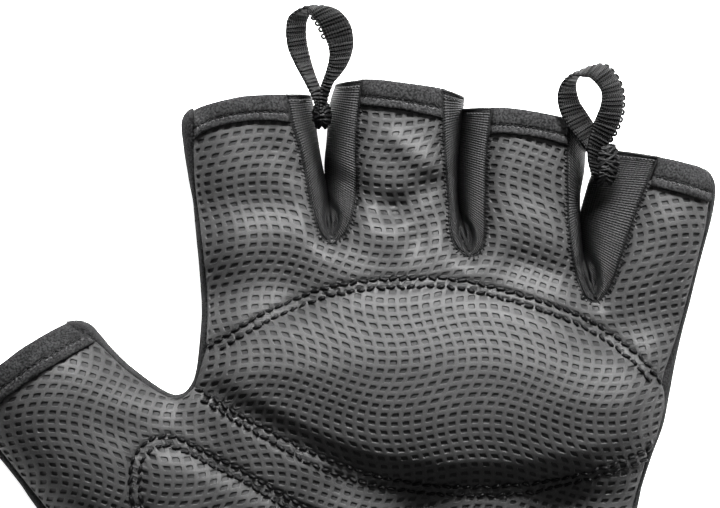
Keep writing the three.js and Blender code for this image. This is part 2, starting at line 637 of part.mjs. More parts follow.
// Webbing pull loops: a ribbon round a drop shape, its two ends sewn together in a tack.
function pullLoop(row) {
  const spine = Array.from({ length: LOOP_STEPS + 1 }, (_, i) => {
    const turn = (FULL_TURN * i) / LOOP_STEPS;
    const out = (1 - Math.cos(turn)) / 2;
    const half = turn < Math.PI ? -1 : 1;
    const across = (half * row.spread * (1 - out)) / 2
      - row.halfWidth * LOOP_SWELL * Math.sin(turn) * out ** LOOP_PINCH;
    return { plan: new THREE.Vector2(across, row.length * out), out };
  });
  const face = (depth) => spine.map(({ plan, out }, i) => {
    const before = spine[Math.max(i - 1, 0)].plan;
    const after = spine[Math.min(i + 1, LOOP_STEPS)].plan;
    const along = after.clone().sub(before).normalize();
    const tilt = row.tilt * out ** LOOP_TURN;
    return [-1, 0, 1].map((edge) => {
      const width = (edge * RIBBON_WIDTH) / 2;
      const level = width * Math.sin(tilt) + depth * Math.cos(tilt);
      const up = depth * Math.sin(tilt) - width * Math.cos(tilt);
      return new THREE.Vector3(plan.x - along.y * level, plan.y + along.x * level, up);
    });
  });
  const ribbon = between(face(RIBBON_THICKNESS / 2), face(-RIBBON_THICKNESS / 2));
  const half = (row.spread + RIBBON_THICKNESS) / 2 + TACK_PROUD;
  const tack = prism([
    new THREE.Vector2(-half, -TACK_BACK), new THREE.Vector2(-half, TACK_LENGTH),
    new THREE.Vector2(half, TACK_LENGTH), new THREE.Vector2(half, -TACK_BACK),
  ], (-TACK_SHARE * RIBBON_WIDTH) / 2, (TACK_SHARE * RIBBON_WIDTH) / 2);

  const stations = SLOT_STATIONS[row.slot];
  const middleAt = (share) => faceAt(stations, share).lerp(faceAt(stations.toReversed(), share), 0.5);
  const axis = middleAt(1).sub(fingerPoint(SLOTS[row.slot].foot));
  const seat = middleAt(row.seat);
  return ribbon.add(tack)
    .rotate([0, row.roll, 0])
    .rotate([0, 0, THREE.MathUtils.radToDeg(axis.angle()) - 90 - row.lean])
    .translate([seat.x + row.over, seat.y, row.height]);
}

// Materials and the finished group.

const cloth = (name, color, roughness) => new THREE.MeshStandardMaterial({ name, color, roughness, metalness: 0 });
const leather = cloth("grip leather", 0x3a3c3e, 0.6);
const felt = cloth("brushed felt", 0x303236, 0.95);
const stretch = cloth("stretch knit", 0x1b1b1d, 0.5);
const webbing = cloth("ribbed webbing", 0x17181a, 0.7);
const backing = cloth("back fabric", 0x1f2023, 0.9);

const merged = (solid) => solid.simplify(FACET_TOLERANCE);
const [indexHem, middleHem, ringHem, littleHem] = fingerHems.map(merged);
const PIECES = [
  ["palm_panel", merged(palmPanel), leather],
  ["heel_panel", merged(heelPanel), leather],
  ["palm_pad", merged(pad(PALM_PAD_EDGE, PALM_PAD_THICKNESS)), leather],
  ["heel_pad", merged(pad(HEEL_PAD_EDGE, HEEL_PAD_THICKNESS)), leather],
  ["index_hem", indexHem, felt],
  ["middle_hem", middleHem, felt],
  ["ring_hem", ringHem, felt],
  ["little_hem", littleHem, felt],
  ["thumb_hem", merged(thumbHem), felt],
  ...SLOTS.map(({ name }, i) => [`${name}_gusset`, gusset(SLOT_STATIONS[i]), stretch]),
  ["back_panel", merged(backPanel), backing],
  ["wrist_cuff", cuff, backing],
  ["wrist_strap", strap(), webbing],
  ...LOOPS.map((row) => [row.name, pullLoop(row), webbing]),
];

const glove = new THREE.Group();
glove.name = "weightlifting_glove";
for (const [name, solid, material] of PIECES) glove.add(meshOf(name, solid, material));

export default glove;
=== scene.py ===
import math

import bpy
import numpy as np
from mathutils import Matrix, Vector


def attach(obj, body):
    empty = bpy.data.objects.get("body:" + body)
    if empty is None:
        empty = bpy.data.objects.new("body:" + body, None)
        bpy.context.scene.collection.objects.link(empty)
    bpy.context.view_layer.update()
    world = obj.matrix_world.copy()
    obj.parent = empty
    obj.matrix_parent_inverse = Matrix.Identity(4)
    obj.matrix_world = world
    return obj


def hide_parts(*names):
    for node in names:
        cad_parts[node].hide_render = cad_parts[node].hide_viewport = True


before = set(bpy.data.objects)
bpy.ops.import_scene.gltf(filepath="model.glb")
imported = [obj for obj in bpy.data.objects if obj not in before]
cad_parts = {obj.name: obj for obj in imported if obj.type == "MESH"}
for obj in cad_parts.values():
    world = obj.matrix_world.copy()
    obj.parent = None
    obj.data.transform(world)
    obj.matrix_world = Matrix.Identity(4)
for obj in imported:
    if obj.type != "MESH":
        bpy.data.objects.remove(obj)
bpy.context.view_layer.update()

# Working units are millimetres, in the part's own frame. Pixels are the photograph's.
MM = 0.001
PIXEL = 0.21
PHOTO_SIZE = (720, 508)
PIXEL_ORIGIN = (440, 400)


def plan(*pixels):
    """Plan points in millimetres from places in the photograph."""
    across, down = np.array(pixels, float).T
    return np.column_stack(((across - PIXEL_ORIGIN[0]) * PIXEL, (PIXEL_ORIGIN[1] - down) * PIXEL))


def seen_at(level, points):
    """Plan points moved so that the camera sees them in the same place although they lie at another height."""
    centre = plan((PHOTO_SIZE[0] / 2, PHOTO_SIZE[1] / 2))
    away = PHOTO_SIZE[0] * PIXEL * LENS / SENSOR
    return centre + (points - centre) * (away + PALM_LEVEL - level) / away


# Camera and light

PALM_LEVEL = 24.0
LENS = 200.0
SENSOR = 36.0


def add_camera():
    width = PHOTO_SIZE[0] * PIXEL
    centre = plan((PHOTO_SIZE[0] / 2, PHOTO_SIZE[1] / 2))[0]
    data = bpy.data.cameras.new("camera")
    data.lens, data.sensor_width = LENS, SENSOR
    data.clip_start, data.clip_end = 0.01, 50
    camera = bpy.data.objects.new("camera", data)
    camera.location = (centre[0] * MM, centre[1] * MM, (PALM_LEVEL + width * LENS / SENSOR) * MM)
    bpy.context.scene.collection.objects.link(camera)
    bpy.context.scene.camera = camera


def add_light(name, place, target, size, power, spread=180):
    data = bpy.data.lights.new(name, "AREA")
    data.shape, data.size, data.size_y, data.energy = "RECTANGLE", size[0], size[1], power
    data.spread = math.radians(spread)
    light = bpy.data.objects.new(name, data)
    light.location = place
    light.rotation_euler = (Vector(target) - Vector(place)).to_track_quat("-Z", "Y").to_euler()
    bpy.context.scene.collection.objects.link(light)


add_camera()
add_light("key", (0.07, 0.41, 0.33), (0.01, 0.075, 0.02), (0.34, 0.16), 1.65, spread=52)
add_light("overhead", (0.0, 0.0, 1.3), (0, 0, 0), (0.9, 0.9), 2.1)
add_light("side", (0.6, 0.25, 0.35), (0, 0.02, 0.02), (0.3, 0.3), 0.45)

world = bpy.data.worlds.new("studio")
world.use_nodes = True
world.node_tree.nodes["Background"].inputs["Color"].default_value = (1, 1, 1, 1)
world.node_tree.nodes["Background"].inputs["Strength"].default_value = 0.12
bpy.context.scene.world = world
bpy.context.scene.view_settings.view_transform = "Standard"

# Shapes of the glove in plan

INDEX_SIDE = plan(
    (192, 107.5), (187, 110), (183, 115), (180.5, 123), (181, 133), (182, 140), (184, 155), (186.5, 170),
    (189, 185), (192, 200), (193.5, 215), (195, 230), (196.5, 245), (198, 260), (199, 275), (200, 290), (201, 305),
    (201, 320), (200, 335), (198.5, 352), (196.5, 368), (193, 381), (186, 391), (178, 395), (169, 394),
    (155, 386), (140, 375), (125, 363), (111, 349), (99, 335), (91, 326), (84, 322), (76, 320.5), (66, 321.5),
)
THUMB_OUTER = plan(
    (-46, 399), (-37, 408), (-28, 420), (-12, 445), (3, 463), (20, 485), (30, 500), (62, 545), (100, 600),
    (150, 655), (192, 708), (215, 745), (220, 770), (220, 778),
)
LITTLE_SIDE = plan(
    (604, 778), (604, 770), (610, 700), (616, 640), (626, 570), (640, 500), (643, 485), (652, 455),
    (663, 425), (669, 395), (675, 365), (682, 335), (690, 305), (697, 275), (705, 245), (713, 215),
    (716, 197), (716, 184), (712, 174), (706, 168.5),
)
SIDES_SEEN = {"index": INDEX_SIDE, "thumb": THUMB_OUTER, "little": LITTLE_SIDE}
SIDES = {name: seen_at(13.0, run) for name, run in SIDES_SEEN.items()}

# Each gap between two fingers has two gusset faces. A face runs from its seam on the leather to the lip where
# it turns down, both listed from the opening to the bottom of the gap.
SLOTS = {
    "index_middle": {
        "left": plan((285.5, 93), (291, 122), (300, 150), (306, 180), (311, 205), (318, 230), (324, 239), (331, 243)),
        "left_lip": plan(
            (311, 93), (314.5, 116), (317.5, 138), (321.8, 163), (326.6, 185), (329.3, 204), (330.5, 220), (331, 236),
        ),
        "right": plan((362, 78), (358.5, 110), (356, 145), (357, 180), (355, 205), (350, 224), (342, 237), (332.5, 243)),
        "right_lip": plan(
            (334.5, 82), (328.5, 104), (326, 136), (323.6, 163), (325.2, 185), (328, 204), (329.6, 220), (330.6, 236),
        ),
    },
    "middle_ring": {
        "left": plan((443, 87), (443.5, 125), (446, 165), (449, 200), (450, 226), (453.5, 242), (460, 251), (470.5, 256.3)),
        "left_lip": plan(
            (466.5, 95), (464.5, 118), (461, 150), (460, 185), (461, 207), (464, 221), (466.8, 233), (468.5, 248),
        ),
        "right": plan((493, 106.5), (489.5, 135), (487, 165), (486.5, 200), (486, 226), (485, 241), (480.5, 252), (472, 256.5)),
        "right_lip": plan(
            (463, 107), (461, 128), (458.6, 156), (458.2, 185), (459.8, 205), (462.8, 219), (466, 232), (468.4, 248),
        ),
    },
    "ring_little": {
        "left": plan((569, 117), (568.7, 150), (568.7, 187), (569.5, 222), (573, 254), (579, 280), (587, 298), (597, 303)),
        "left_lip": plan(
            (590, 150), (588, 171), (583.6, 195), (583.4, 214), (585.4, 238), (588, 258), (591.6, 276), (596.4, 293),
        ),
        "right": plan((661, 156), (652, 176), (641, 203), (630, 234), (622, 258), (614, 281), (608, 293), (598.5, 302.6)),
        "right_lip": plan(
            (611, 148), (596, 172), (588.5, 195), (583.2, 217), (584.0, 238), (586.8, 258), (590.8, 276), (596.2, 293),
        ),
    },
}
SLOT_RUNS = [np.vstack((slot["left"], slot["right"][::-1])) for slot in SLOTS.values()]

# Each hem's upper edge, at the opening, and its lower edge, from the thumb's side.
HEMS = {
    "index_hem": (
        plan((192.5, 108), (200, 105), (212, 101.7), (228, 98), (243, 95.2), (257, 94.2), (271, 93.6), (286, 93)),
        plan((193.2, 139.5), (201.4, 132.8), (211, 128.3), (226, 124.6), (241, 122.2), (256.5, 120.9), (272, 121), (290.5, 122.3)),
    ),
    "middle_hem": (
        plan((362, 77.5), (380, 78.5), (400, 81), (421, 83.8), (443, 87)),
        plan((359.8, 104.8), (379, 107), (400, 109.6), (421, 113.8), (443.3, 118)),
    ),
    "ring_hem": (
        plan((493.5, 106), (511, 107.2), (526, 109), (541, 111.6), (555, 114.4), (569, 117)),
        plan((490.5, 134.2), (508, 134), (524, 135.6), (539, 138), (554, 141.6), (568.8, 145.2)),
    ),
    "little_hem": (
        plan((661, 156), (674, 159), (689, 162.6), (703, 166), (710, 170.5), (713.6, 178)),
        plan((651, 186), (664, 189.6), (683, 194.4), (699, 199), (709, 201.5), (714.3, 200)),
    ),
    "thumb_hem": (
        plan((-43, 398), (-16, 377), (5, 361), (20, 349.5), (35, 340), (50, 331), (65, 323.3)),
        plan((-29, 424), (-12, 412), (4.2, 400), (21, 387.5), (42, 373), (65, 359.4), (94, 342.5)),
    ),
}

# Stitched rows of the pads.
PAD_TOP_ROW = plan(
    (206, 349), (230, 333), (257, 317), (288, 302), (321, 289), (350, 283), (381, 279), (412, 278),
    (441, 278), (467, 281), (504, 290), (541, 301), (578, 315), (606, 330), (633, 350), (650, 367),
    (663, 385),
)
PAD_LOW_ROW = plan(
    (194, 388), (213, 398), (231, 410), (251, 421), (270, 431), (292, 443), (313, 453), (333, 462),
    (360, 472), (384, 479), (425, 486), (459, 488), (505, 487), (551, 482), (587, 474), (606, 468),
    (633, 458), (655, 446),
)
PAD_SECOND_ROW = plan(
    (200, 399), (221, 411), (241, 424), (262, 436), (282, 448), (307, 462), (333, 474), (353, 481),
    (384, 489), (430, 495), (480, 497), (532, 494), (574, 484), (600, 477), (630, 468), (650, 460),
)
PAD_OUTER_EDGE = plan((666, 396), (666, 407), (663, 420), (659, 434))
PAD_EDGE = np.vstack((PAD_TOP_ROW, PAD_OUTER_EDGE, PAD_LOW_ROW[::-1]))
HEEL_EDGE = plan(
    (133, 505), (131, 486), (131, 470), (135, 455), (145, 443), (156, 437), (170, 436), (180, 439),
    (200, 449), (221, 460), (241, 470), (262, 482), (292, 501), (330, 517), (390, 530), (450, 534),
    (510, 530), (560, 521), (592, 522), (606, 545), (604, 600), (596, 655), (570, 700), (500, 728),
    (400, 735), (310, 728), (235, 700), (195, 655), (160, 600), (140, 550),
)

# The leather's outer edges, inside the back fabric that shows beside them.
LEATHER_INDEX = plan(
    (193, 126), (192.6, 158), (193.2, 176), (195, 198), (198, 220), (201, 242), (204, 270), (206, 300),
    (206.5, 322), (206, 338), (204, 355), (201, 370), (196, 383), (190, 392),
)
LEATHER_LITTLE = plan(
    (711, 199), (710, 210), (706.5, 232), (702, 250), (696, 275), (689, 300), (681, 330), (670, 360),
    (662, 380), (659, 395), (659, 412), (657, 428), (652, 446), (647, 462), (640, 490), (632, 520), (620, 580),
    (612, 640), (604, 710), (600, 768),
)
LEATHER_LITTLE_PALM = 9
LEATHER_LITTLE_HEEL = 12
LEATHER_THUMB = plan(
    (190, 396), (177, 400), (163, 396), (147, 386.5), (127, 372.5), (112, 358.5), (97, 344), (89, 336.5), (79, 328.5),
    (67, 325),
)
LEATHER_OUTER = plan(
    (-34, 408), (-20, 428), (-6, 446), (10, 466), (26, 487), (38, 502), (68, 544), (106, 599), (155, 653),
    (198, 706), (221, 744), (226, 768),
)

# Heights

BODY_HEIGHT = 24.0
FINGER_REACH = 68.0
WRIST_REACH = 78.0
PROFILE = ((-1.4, 0.9), (-1, 0.93), (-0.4, 1.02), (0.1, 1.0), (0.5, 0.91), (1, 0.82), (1.3, 0.8))
PAD_RISE = 3.7
HEEL_RISE = 2.6
LEATHER = 1.7

# Soft bulges and dents: both ends of a run in pixels, rise in mm and spread in mm.
FOLDS = (
    ((316, 366), (564, 366), 1.7, 20), ((267, 667), (514, 689), 2.2, 21), ((143, 530), (38, 392), 2.4, 11),
    ((205, 386), (320, 454), -0.8, 2.2), ((345, 482), (420, 512), -2.8, 5.5), ((420, 510), (560, 510), -5.2, 7.5),
    ((560, 512), (655, 500), -4.2, 6.5), ((20, 572), (330, 578), -6.0, 14),
    ((196, 296), (285, 284), -3.4, 6.6), ((195, 208), (285, 202), -1.9, 5.4), ((280, 150), (292, 170), -1.3, 3.0),
    ((225, 222), (290, 232), 0.3, 4.0), ((395, 140), (434, 168), 1.3, 2.4), ((434, 182), (398, 208), -1.8, 2.8),
    ((352, 192), (392, 208), -2.2, 3.4), ((372, 232), (392, 238), 0.8, 3.4), ((440, 205), (418, 236), -1.4, 3.6),
    ((300, 270), (352, 276), 0.9, 5.0), ((500, 130), (520, 215), 0.6, 5.0), ((530, 190), (560, 205), -0.6, 4.0),
    ((520, 262), (572, 278), -2.0, 3.6), ((614, 328), (656, 326), -4.0, 9.0), ((664, 345), (690, 335), 0.8, 4.0),
    ((668, 222), (700, 230), 0.7, 4.0), ((235, 318), (262, 300), 0.7, 5.0),
    ((220, 400), (150, 405), 1.0, 7.0), ((100, 372), (60, 400), 0.9, 6.0), ((205, 425), (120, 430), -0.8, 4.0),
)


def points_inside(polygon, xy):
    x, y = xy[:, 0], xy[:, 1]
    inside = np.zeros(len(xy), bool)
    for (ax, ay), (bx, by) in zip(polygon, np.roll(polygon, -1, axis=0)):
        if ay == by:
            continue
        crosses = (ay > y) != (by > y)
        inside ^= crosses & (x < (bx - ax) * (y - ay) / (by - ay) + ax)
    return inside


def nearest_on(run, xy, closed=False):
    """(distance, nearest point, length along the run) from each place to a run."""
    ends = np.vstack((run, run[:1])) if closed else run
    best = np.full(len(xy), np.inf)
    spots = np.zeros((len(xy), 2))
    along = np.zeros(len(xy))
    walked = 0.0
    for a, b in zip(ends, ends[1:]):
        step = b - a
        length = math.hypot(*step)
        share = np.clip(((xy - a) @ step) / max(length * length, 1e-9), 0, 1)
        spot = a + share[:, None] * step
        gap = np.hypot(*(xy - spot).T)
        closer = gap < best
        best[closer] = gap[closer]
        spots[closer] = spot[closer]
        along[closer] = walked + share[closer] * length
        walked += length
    return best, spots, along


def inset(polygon, run, xy, closed=False):
    """Distance inside a polygon, negative outside, measured to a run of its edge."""
    distance = nearest_on(run, xy, closed)[0]
    return np.where(points_inside(polygon, xy), distance, -distance)


def smooth(share):
    share = np.clip(share, 0, 1)
    return share * share * (3 - 2 * share)


def even_run(run, step):
    """A smooth curve through a run's points, with even steps."""
    padded = np.vstack((2 * run[0] - run[1], run, 2 * run[-1] - run[-2]))
    curve = []
    for p0, p1, p2, p3 in zip(padded, padded[1:], padded[2:], padded[3:]):
        for t in np.linspace(0, 1, 8, endpoint=False):
            curve.append(0.5 * (
                2 * p1 + (p2 - p0) * t + (2 * p0 - 5 * p1 + 4 * p2 - p3) * t ** 2
                + (3 * p1 - p0 - 3 * p2 + p3) * t ** 3
            ))
    curve = np.array(curve + [run[-1]])
    lengths = np.concatenate(([0], np.cumsum(np.linalg.norm(np.diff(curve, axis=0), axis=1))))
    count = max(2, int(round(lengths[-1] / step)) + 1)
    at = np.linspace(0, lengths[-1], count)
    return np.column_stack([np.interp(at, lengths, curve[:, k]) for k in range(curve.shape[1])])


OUTLINE = np.vstack((
    SIDES["index"], plan((70, 300), (-70, 380)), SIDES["thumb"], plan((240, 830), (590, 830)), SIDES["little"],
    plan((720, 20), (180, 20)),
))
STITCH_ROWS = {
    "pad_top": even_run(PAD_TOP_ROW, 1.0),
    "pad_low": even_run(PAD_LOW_ROW, 1.0),
    "pad_second": even_run(PAD_SECOND_ROW, 1.0),
}


def offset_run(run, distance):
    """A run moved to its left by a distance."""
    along = np.gradient(run, axis=0)
    along /= np.linalg.norm(along, axis=1)[:, None]
    return run + distance * np.column_stack((-along[:, 1], along[:, 0]))


PAD_INNER_ROW = offset_run(even_run(PAD_TOP_ROW, 2.0), -1.8)[1:-1]
HEEL_ROW = even_run(np.vstack((HEEL_EDGE, HEEL_EDGE[:1])), 1.5)
HEEL_INNER_ROW = offset_run(HEEL_ROW, -1.9)
# Each groove's run, its depth and its width.
GROOVES = (
    (STITCH_ROWS["pad_top"], 0.55, 0.6), (PAD_INNER_ROW, 0.55, 0.6), (STITCH_ROWS["pad_low"], 0.7, 0.8),
    (STITCH_ROWS["pad_second"], 0.7, 0.8), (HEEL_ROW, 0.6, 0.6), (HEEL_INNER_ROW, 0.6, 0.6),
)
GROOVE_REACH = 2.4
COARSE_STEP = 2.0
COARSE_LOW = np.array((-120.0, -105.0))
COARSE_SHAPE = (96, 110)


def coarse_distances(run):
    """A run's distance over a coarse grid, to pick out the places that are near it."""
    across, along = np.meshgrid(np.arange(COARSE_SHAPE[0]), np.arange(COARSE_SHAPE[1]), indexing="ij")
    places = COARSE_LOW + COARSE_STEP * np.column_stack((across.ravel(), along.ravel()))
    return nearest_on(run[::3], places)[0].reshape(COARSE_SHAPE)


NEAR_GROOVES = [coarse_distances(run) < GROOVE_REACH + COARSE_STEP + 1.5 for run, _, _ in GROOVES]


def height(xy, grooves=True):
    """The palm side's height over the table."""
    x, y = xy[:, 0], xy[:, 1]
    share = np.where(y > 0, y / FINGER_REACH, y / WRIST_REACH)
    z = BODY_HEIGHT * np.interp(share, *np.array(PROFILE).T)
    for start, end, rise, spread in FOLDS:
        away = nearest_on(plan(start, end), xy)[0] / spread
        z += rise * np.exp(-away * away)
    for name, drop, reach in (("index", 5.5, 11.0), ("thumb", 8.0, 13.0), ("little", 5.5, 9.5)):
        edge = 1 - np.clip(inset(OUTLINE, SIDES[name], xy) / reach, -0.2, 1)
        z -= drop * edge ** 2.2 * (edge > 0)
    for run in SLOT_RUNS:
        edge = 1 - np.clip(-inset(run, run, xy) / 4.0, -0.3, 1)
        z -= 2.6 * edge ** 2
    pad = inset(PAD_EDGE, PAD_EDGE, xy, closed=True)
    z += PAD_RISE * (0.4 * smooth((pad - 1.2) / 4.5) + 0.6 * smooth((pad - 1.2) / 17.0))
    heel = inset(HEEL_EDGE, HEEL_EDGE, xy, closed=True)
    z += HEEL_RISE * (0.6 * smooth((heel - 1.5) / 4.5) + 0.4 * smooth((heel - 1.5) / 14.0))
    if grooves:
        cell = np.clip(np.round((xy - COARSE_LOW) / COARSE_STEP).astype(int), 0, np.array(COARSE_SHAPE) - 1)
        for (run, depth, width), near in zip(GROOVES, NEAR_GROOVES):
            close = near[cell[:, 0], cell[:, 1]]
            if not close.any():
                continue
            away, _, along = nearest_on(run, xy[close])
            pucker = 1 + 0.35 * np.sin(along * 2 * math.pi / 2.1)
            z[close] -= depth * pucker * np.exp(-(away / width) ** 2)
    return z


# Mesh building

def new_object(name, points, faces, material, attributes=(), uvs=None):
    mesh = bpy.data.meshes.new(name)
    mesh.from_pydata((np.asarray(points) * MM).tolist(), [], [tuple(int(i) for i in face) for face in faces])
    mesh.polygons.foreach_set("use_smooth", [True] * len(mesh.polygons))
    if uvs is not None:
        layer = mesh.uv_layers.new(name="cloth")
        corner = np.zeros(len(mesh.loops), np.int32)
        mesh.loops.foreach_get("vertex_index", corner)
        layer.data.foreach_set("uv", np.asarray(uvs, np.float32)[corner].ravel())
    for key, values in attributes:
        layer = mesh.attributes.new(key, "FLOAT", "POINT")
        layer.data.foreach_set("value", np.asarray(values, np.float32))
    mesh.materials.append(material)
    mesh.validate()
    obj = bpy.data.objects.new(name, mesh)
    bpy.context.scene.collection.objects.link(obj)
    return obj


def grid_normals(grid):
    across = np.gradient(grid, axis=1)
    along = np.gradient(grid, axis=0)
    normals = np.cross(along, across)
    return normals / np.maximum(np.linalg.norm(normals, axis=2), 1e-9)[:, :, None]


def grid_lengths(grid):
    """Cloth coordinates of a grid, in millimetres: across its columns and along its rows."""
    rows = np.linalg.norm(np.diff(grid, axis=0), axis=2).mean(axis=1)
    columns = np.linalg.norm(np.diff(grid, axis=1), axis=2).mean(axis=0)
    spots = [np.concatenate(([0], np.cumsum(steps))) for steps in (rows, columns)]
    return np.stack(np.meshgrid(*spots, indexing="ij"), -1)


TABLE_GAP = 0.03


def shell(name, grid, wall, material, facing, attributes=()):
    """A closed sheet of even thickness. The grid is its outer face, which looks towards facing."""
    uv = grid_lengths(grid)
    values = [value for _, value in attributes]
    if (grid_normals(grid) @ np.array(facing, float)).sum() < 0:
        grid, uv, values = grid[::-1], uv[::-1], [value[::-1] for value in values]
    rows, columns = grid.shape[:2]
    inner = grid - grid_normals(grid) * wall
    inner[:, :, 2] = np.maximum(inner[:, :, 2], TABLE_GAP)
    points = np.vstack((grid.reshape(-1, 3), inner.reshape(-1, 3)))
    at = np.arange(rows * columns).reshape(rows, columns)
    quads = np.stack((at[:-1, :-1], at[1:, :-1], at[1:, 1:], at[:-1, 1:]), -1).reshape(-1, 4)
    rim = np.concatenate((at[0, :], at[1:, -1], at[-1, -2::-1], at[-2:0:-1, 0]))
    after = np.roll(rim, -1)
    under = rows * columns
    faces = np.vstack((quads, quads[:, ::-1] + under, np.stack((rim, after, after + under, rim + under), -1)))
    uvs = np.vstack((uv.reshape(-1, 2), uv.reshape(-1, 2)))
    painted_shades = [(key, np.tile(value.ravel(), 2)) for (key, _), value in zip(attributes, values)]
    return new_object(name, points, faces, material, painted_shades, uvs)


def ring_faces(rings, count, closed=False):
    """Faces round a row of rings with count points each, with flat ends or joined end to end."""
    around = np.arange(count)
    onward = (around + 1) % count
    faces = []
    last = rings if closed else rings - 1
    for i in range(last):
        a, b = i * count, (i + 1) % rings * count
        faces.append(np.stack((a + around, a + onward, b + onward, b + around), -1))
    return np.vstack(faces)


def tube(path, radius, sides=8):
    """Points and faces of a closed tube along a path, with a radius at each point."""
    path = np.asarray(path, float)
    radius = np.broadcast_to(radius, len(path))
    along = np.gradient(path, axis=0)
    along /= np.maximum(np.linalg.norm(along, axis=1)[:, None], 1e-9)
    up = np.array((0, 0, 1.0)) if abs(along[:, 2]).mean() < 0.8 else np.array((0, 1.0, 0))
    side = np.cross(along, up)
    side /= np.maximum(np.linalg.norm(side, axis=1)[:, None], 1e-9)
    over = np.cross(side, along)
    turn = np.linspace(0, 2 * math.pi, sides, endpoint=False)
    rings = path[:, None] + radius[:, None, None] * (
        np.cos(turn)[None, :, None] * side[:, None] + np.sin(turn)[None, :, None] * over[:, None]
    )
    last = (len(path) - 1) * sides
    faces = ring_faces(len(path), sides)[:, ::-1].tolist()
    faces += [tuple(range(sides)), tuple(last + k for k in reversed(range(sides)))]
    return rings.reshape(-1, 3), faces


def joined(name, parts, material):
    points, faces, base = [], [], 0
    for part_points, part_faces in parts:
        points.append(part_points)
        faces += [tuple(i + base for i in face) for face in part_faces]
        base += len(part_points)
    return new_object(name, np.vstack(points), faces, material)


def clipped_cells(corners, quads, polygon, least):
    """Places of a lattice's corners, moved onto a polygon's edge where they lie beyond it, and the cells kept."""
    inside = points_inside(polygon, corners)
    placed = corners.copy()
    near = np.zeros(len(corners), bool)
    near[quads[inside[quads].any(axis=1)].ravel()] = True
    outer = near & ~inside
    placed[outer] = nearest_on(polygon, corners[outer], closed=True)[1]
    kept = inside[quads].any(axis=1)
    quads = quads[kept]

    def area(points):
        x, y = points[:, :, 0], points[:, :, 1]
        return 0.5 * np.abs((x[:, 0] - x[:, 2]) * (y[:, 1] - y[:, 3]) - (x[:, 1] - x[:, 3]) * (y[:, 0] - y[:, 2]))

    fullness = area(placed[quads]) / area(corners[quads])
    return placed, quads[fullness > least], fullness[fullness > least]


def close_up(top, faces, outline_quads, under):
    """Joins a top and an under surface, whose points match the outline's quads one by one, into a closed sheet."""
    base = len(top)
    edges = np.vstack([np.stack((outline_quads[:, k], outline_quads[:, (k + 1) % 4]), -1) for k in range(4)])
    keys = {tuple(edge) for edge in edges.tolist()}
    rim = [(b, a, a + base, b + base) for a, b in edges.tolist() if (b, a) not in keys]
    return np.vstack((top, under)), list(map(tuple, faces)) + (outline_quads[:, ::-1] + base).tolist() + rim


# The grip leather: a wavy lattice of bars round sunk cells

CELL_WIDE = 11.4 * PIXEL
CELL_TALL = 8.8 * PIXEL
COLUMN_WAVE = 120 * PIXEL
ROW_WAVE = 215 * PIXEL
LATTICE_START = plan((0, 0))[0] * 0
# Shares of a cell: in from its sides, up from its lower edge, down from its upper edge, and the depth in mm, which
# also sets how much painted shade each ring gets.
CELL_RINGS = (
    (0.178, 0.185, 0.232, 0.0), (0.195, 0.205, 0.25, 0.02), (0.208, 0.224, 0.26, 0.2), (0.222, 0.246, 0.273, 0.3),
    (0.242, 0.272, 0.296, 0.31),
)
CORNER_CUT = 0.09
BAR_CROWN = 0.015


def column_shift(y):
    start = (PIXEL_ORIGIN[1] - 300) * PIXEL
    turn = 2 * math.pi / COLUMN_WAVE
    return 0.07 * (y - start) - 0.47 / turn * np.cos(turn * (start - y))


def row_shift(x):
    start = (275 - PIXEL_ORIGIN[0]) * PIXEL
    turn = 2 * math.pi / ROW_WAVE
    return -(0.08 * (x - start) - 0.30 / turn * np.cos(turn * (x - start)))


def lattice_corner(column, row):
    x, y = column * CELL_WIDE, row * CELL_TALL
    for _ in range(30):
        x, y = column * CELL_WIDE + column_shift(y), row * CELL_TALL + row_shift(x)
    return np.column_stack((x, y)) + LATTICE_START


def on_surface(xy, depth):
    """Places on the palm side, sunk along its normal."""
    step = 0.05
    z = height(xy)
    slope_x = (height(xy + (step, 0)) - z) / step
    slope_y = (height(xy + (0, step)) - z) / step
    normal = np.column_stack((-slope_x, -slope_y, np.ones(len(xy))))
    normal /= np.linalg.norm(normal, axis=1)[:, None]
    return np.column_stack((xy, z)) - normal * np.asarray(depth)[:, None]


def cell_ring(q, side, low, high):
    """Eight places round a cell's opening, anticlockwise, with its corners cut off."""
    cut = CORNER_CUT
    spots = (
        (side + cut, low), (1 - side - cut, low), (1 - side, low + cut), (1 - side, 1 - high - cut),
        (1 - side - cut, 1 - high), (side + cut, 1 - high), (side, 1 - high - cut), (side, low + cut),
    )
    return [
        q[:, 0] * ((1 - a) * (1 - b)) + q[:, 1] * (a * (1 - b)) + q[:, 2] * (a * b) + q[:, 3] * ((1 - a) * b)
        for a, b in spots
    ]


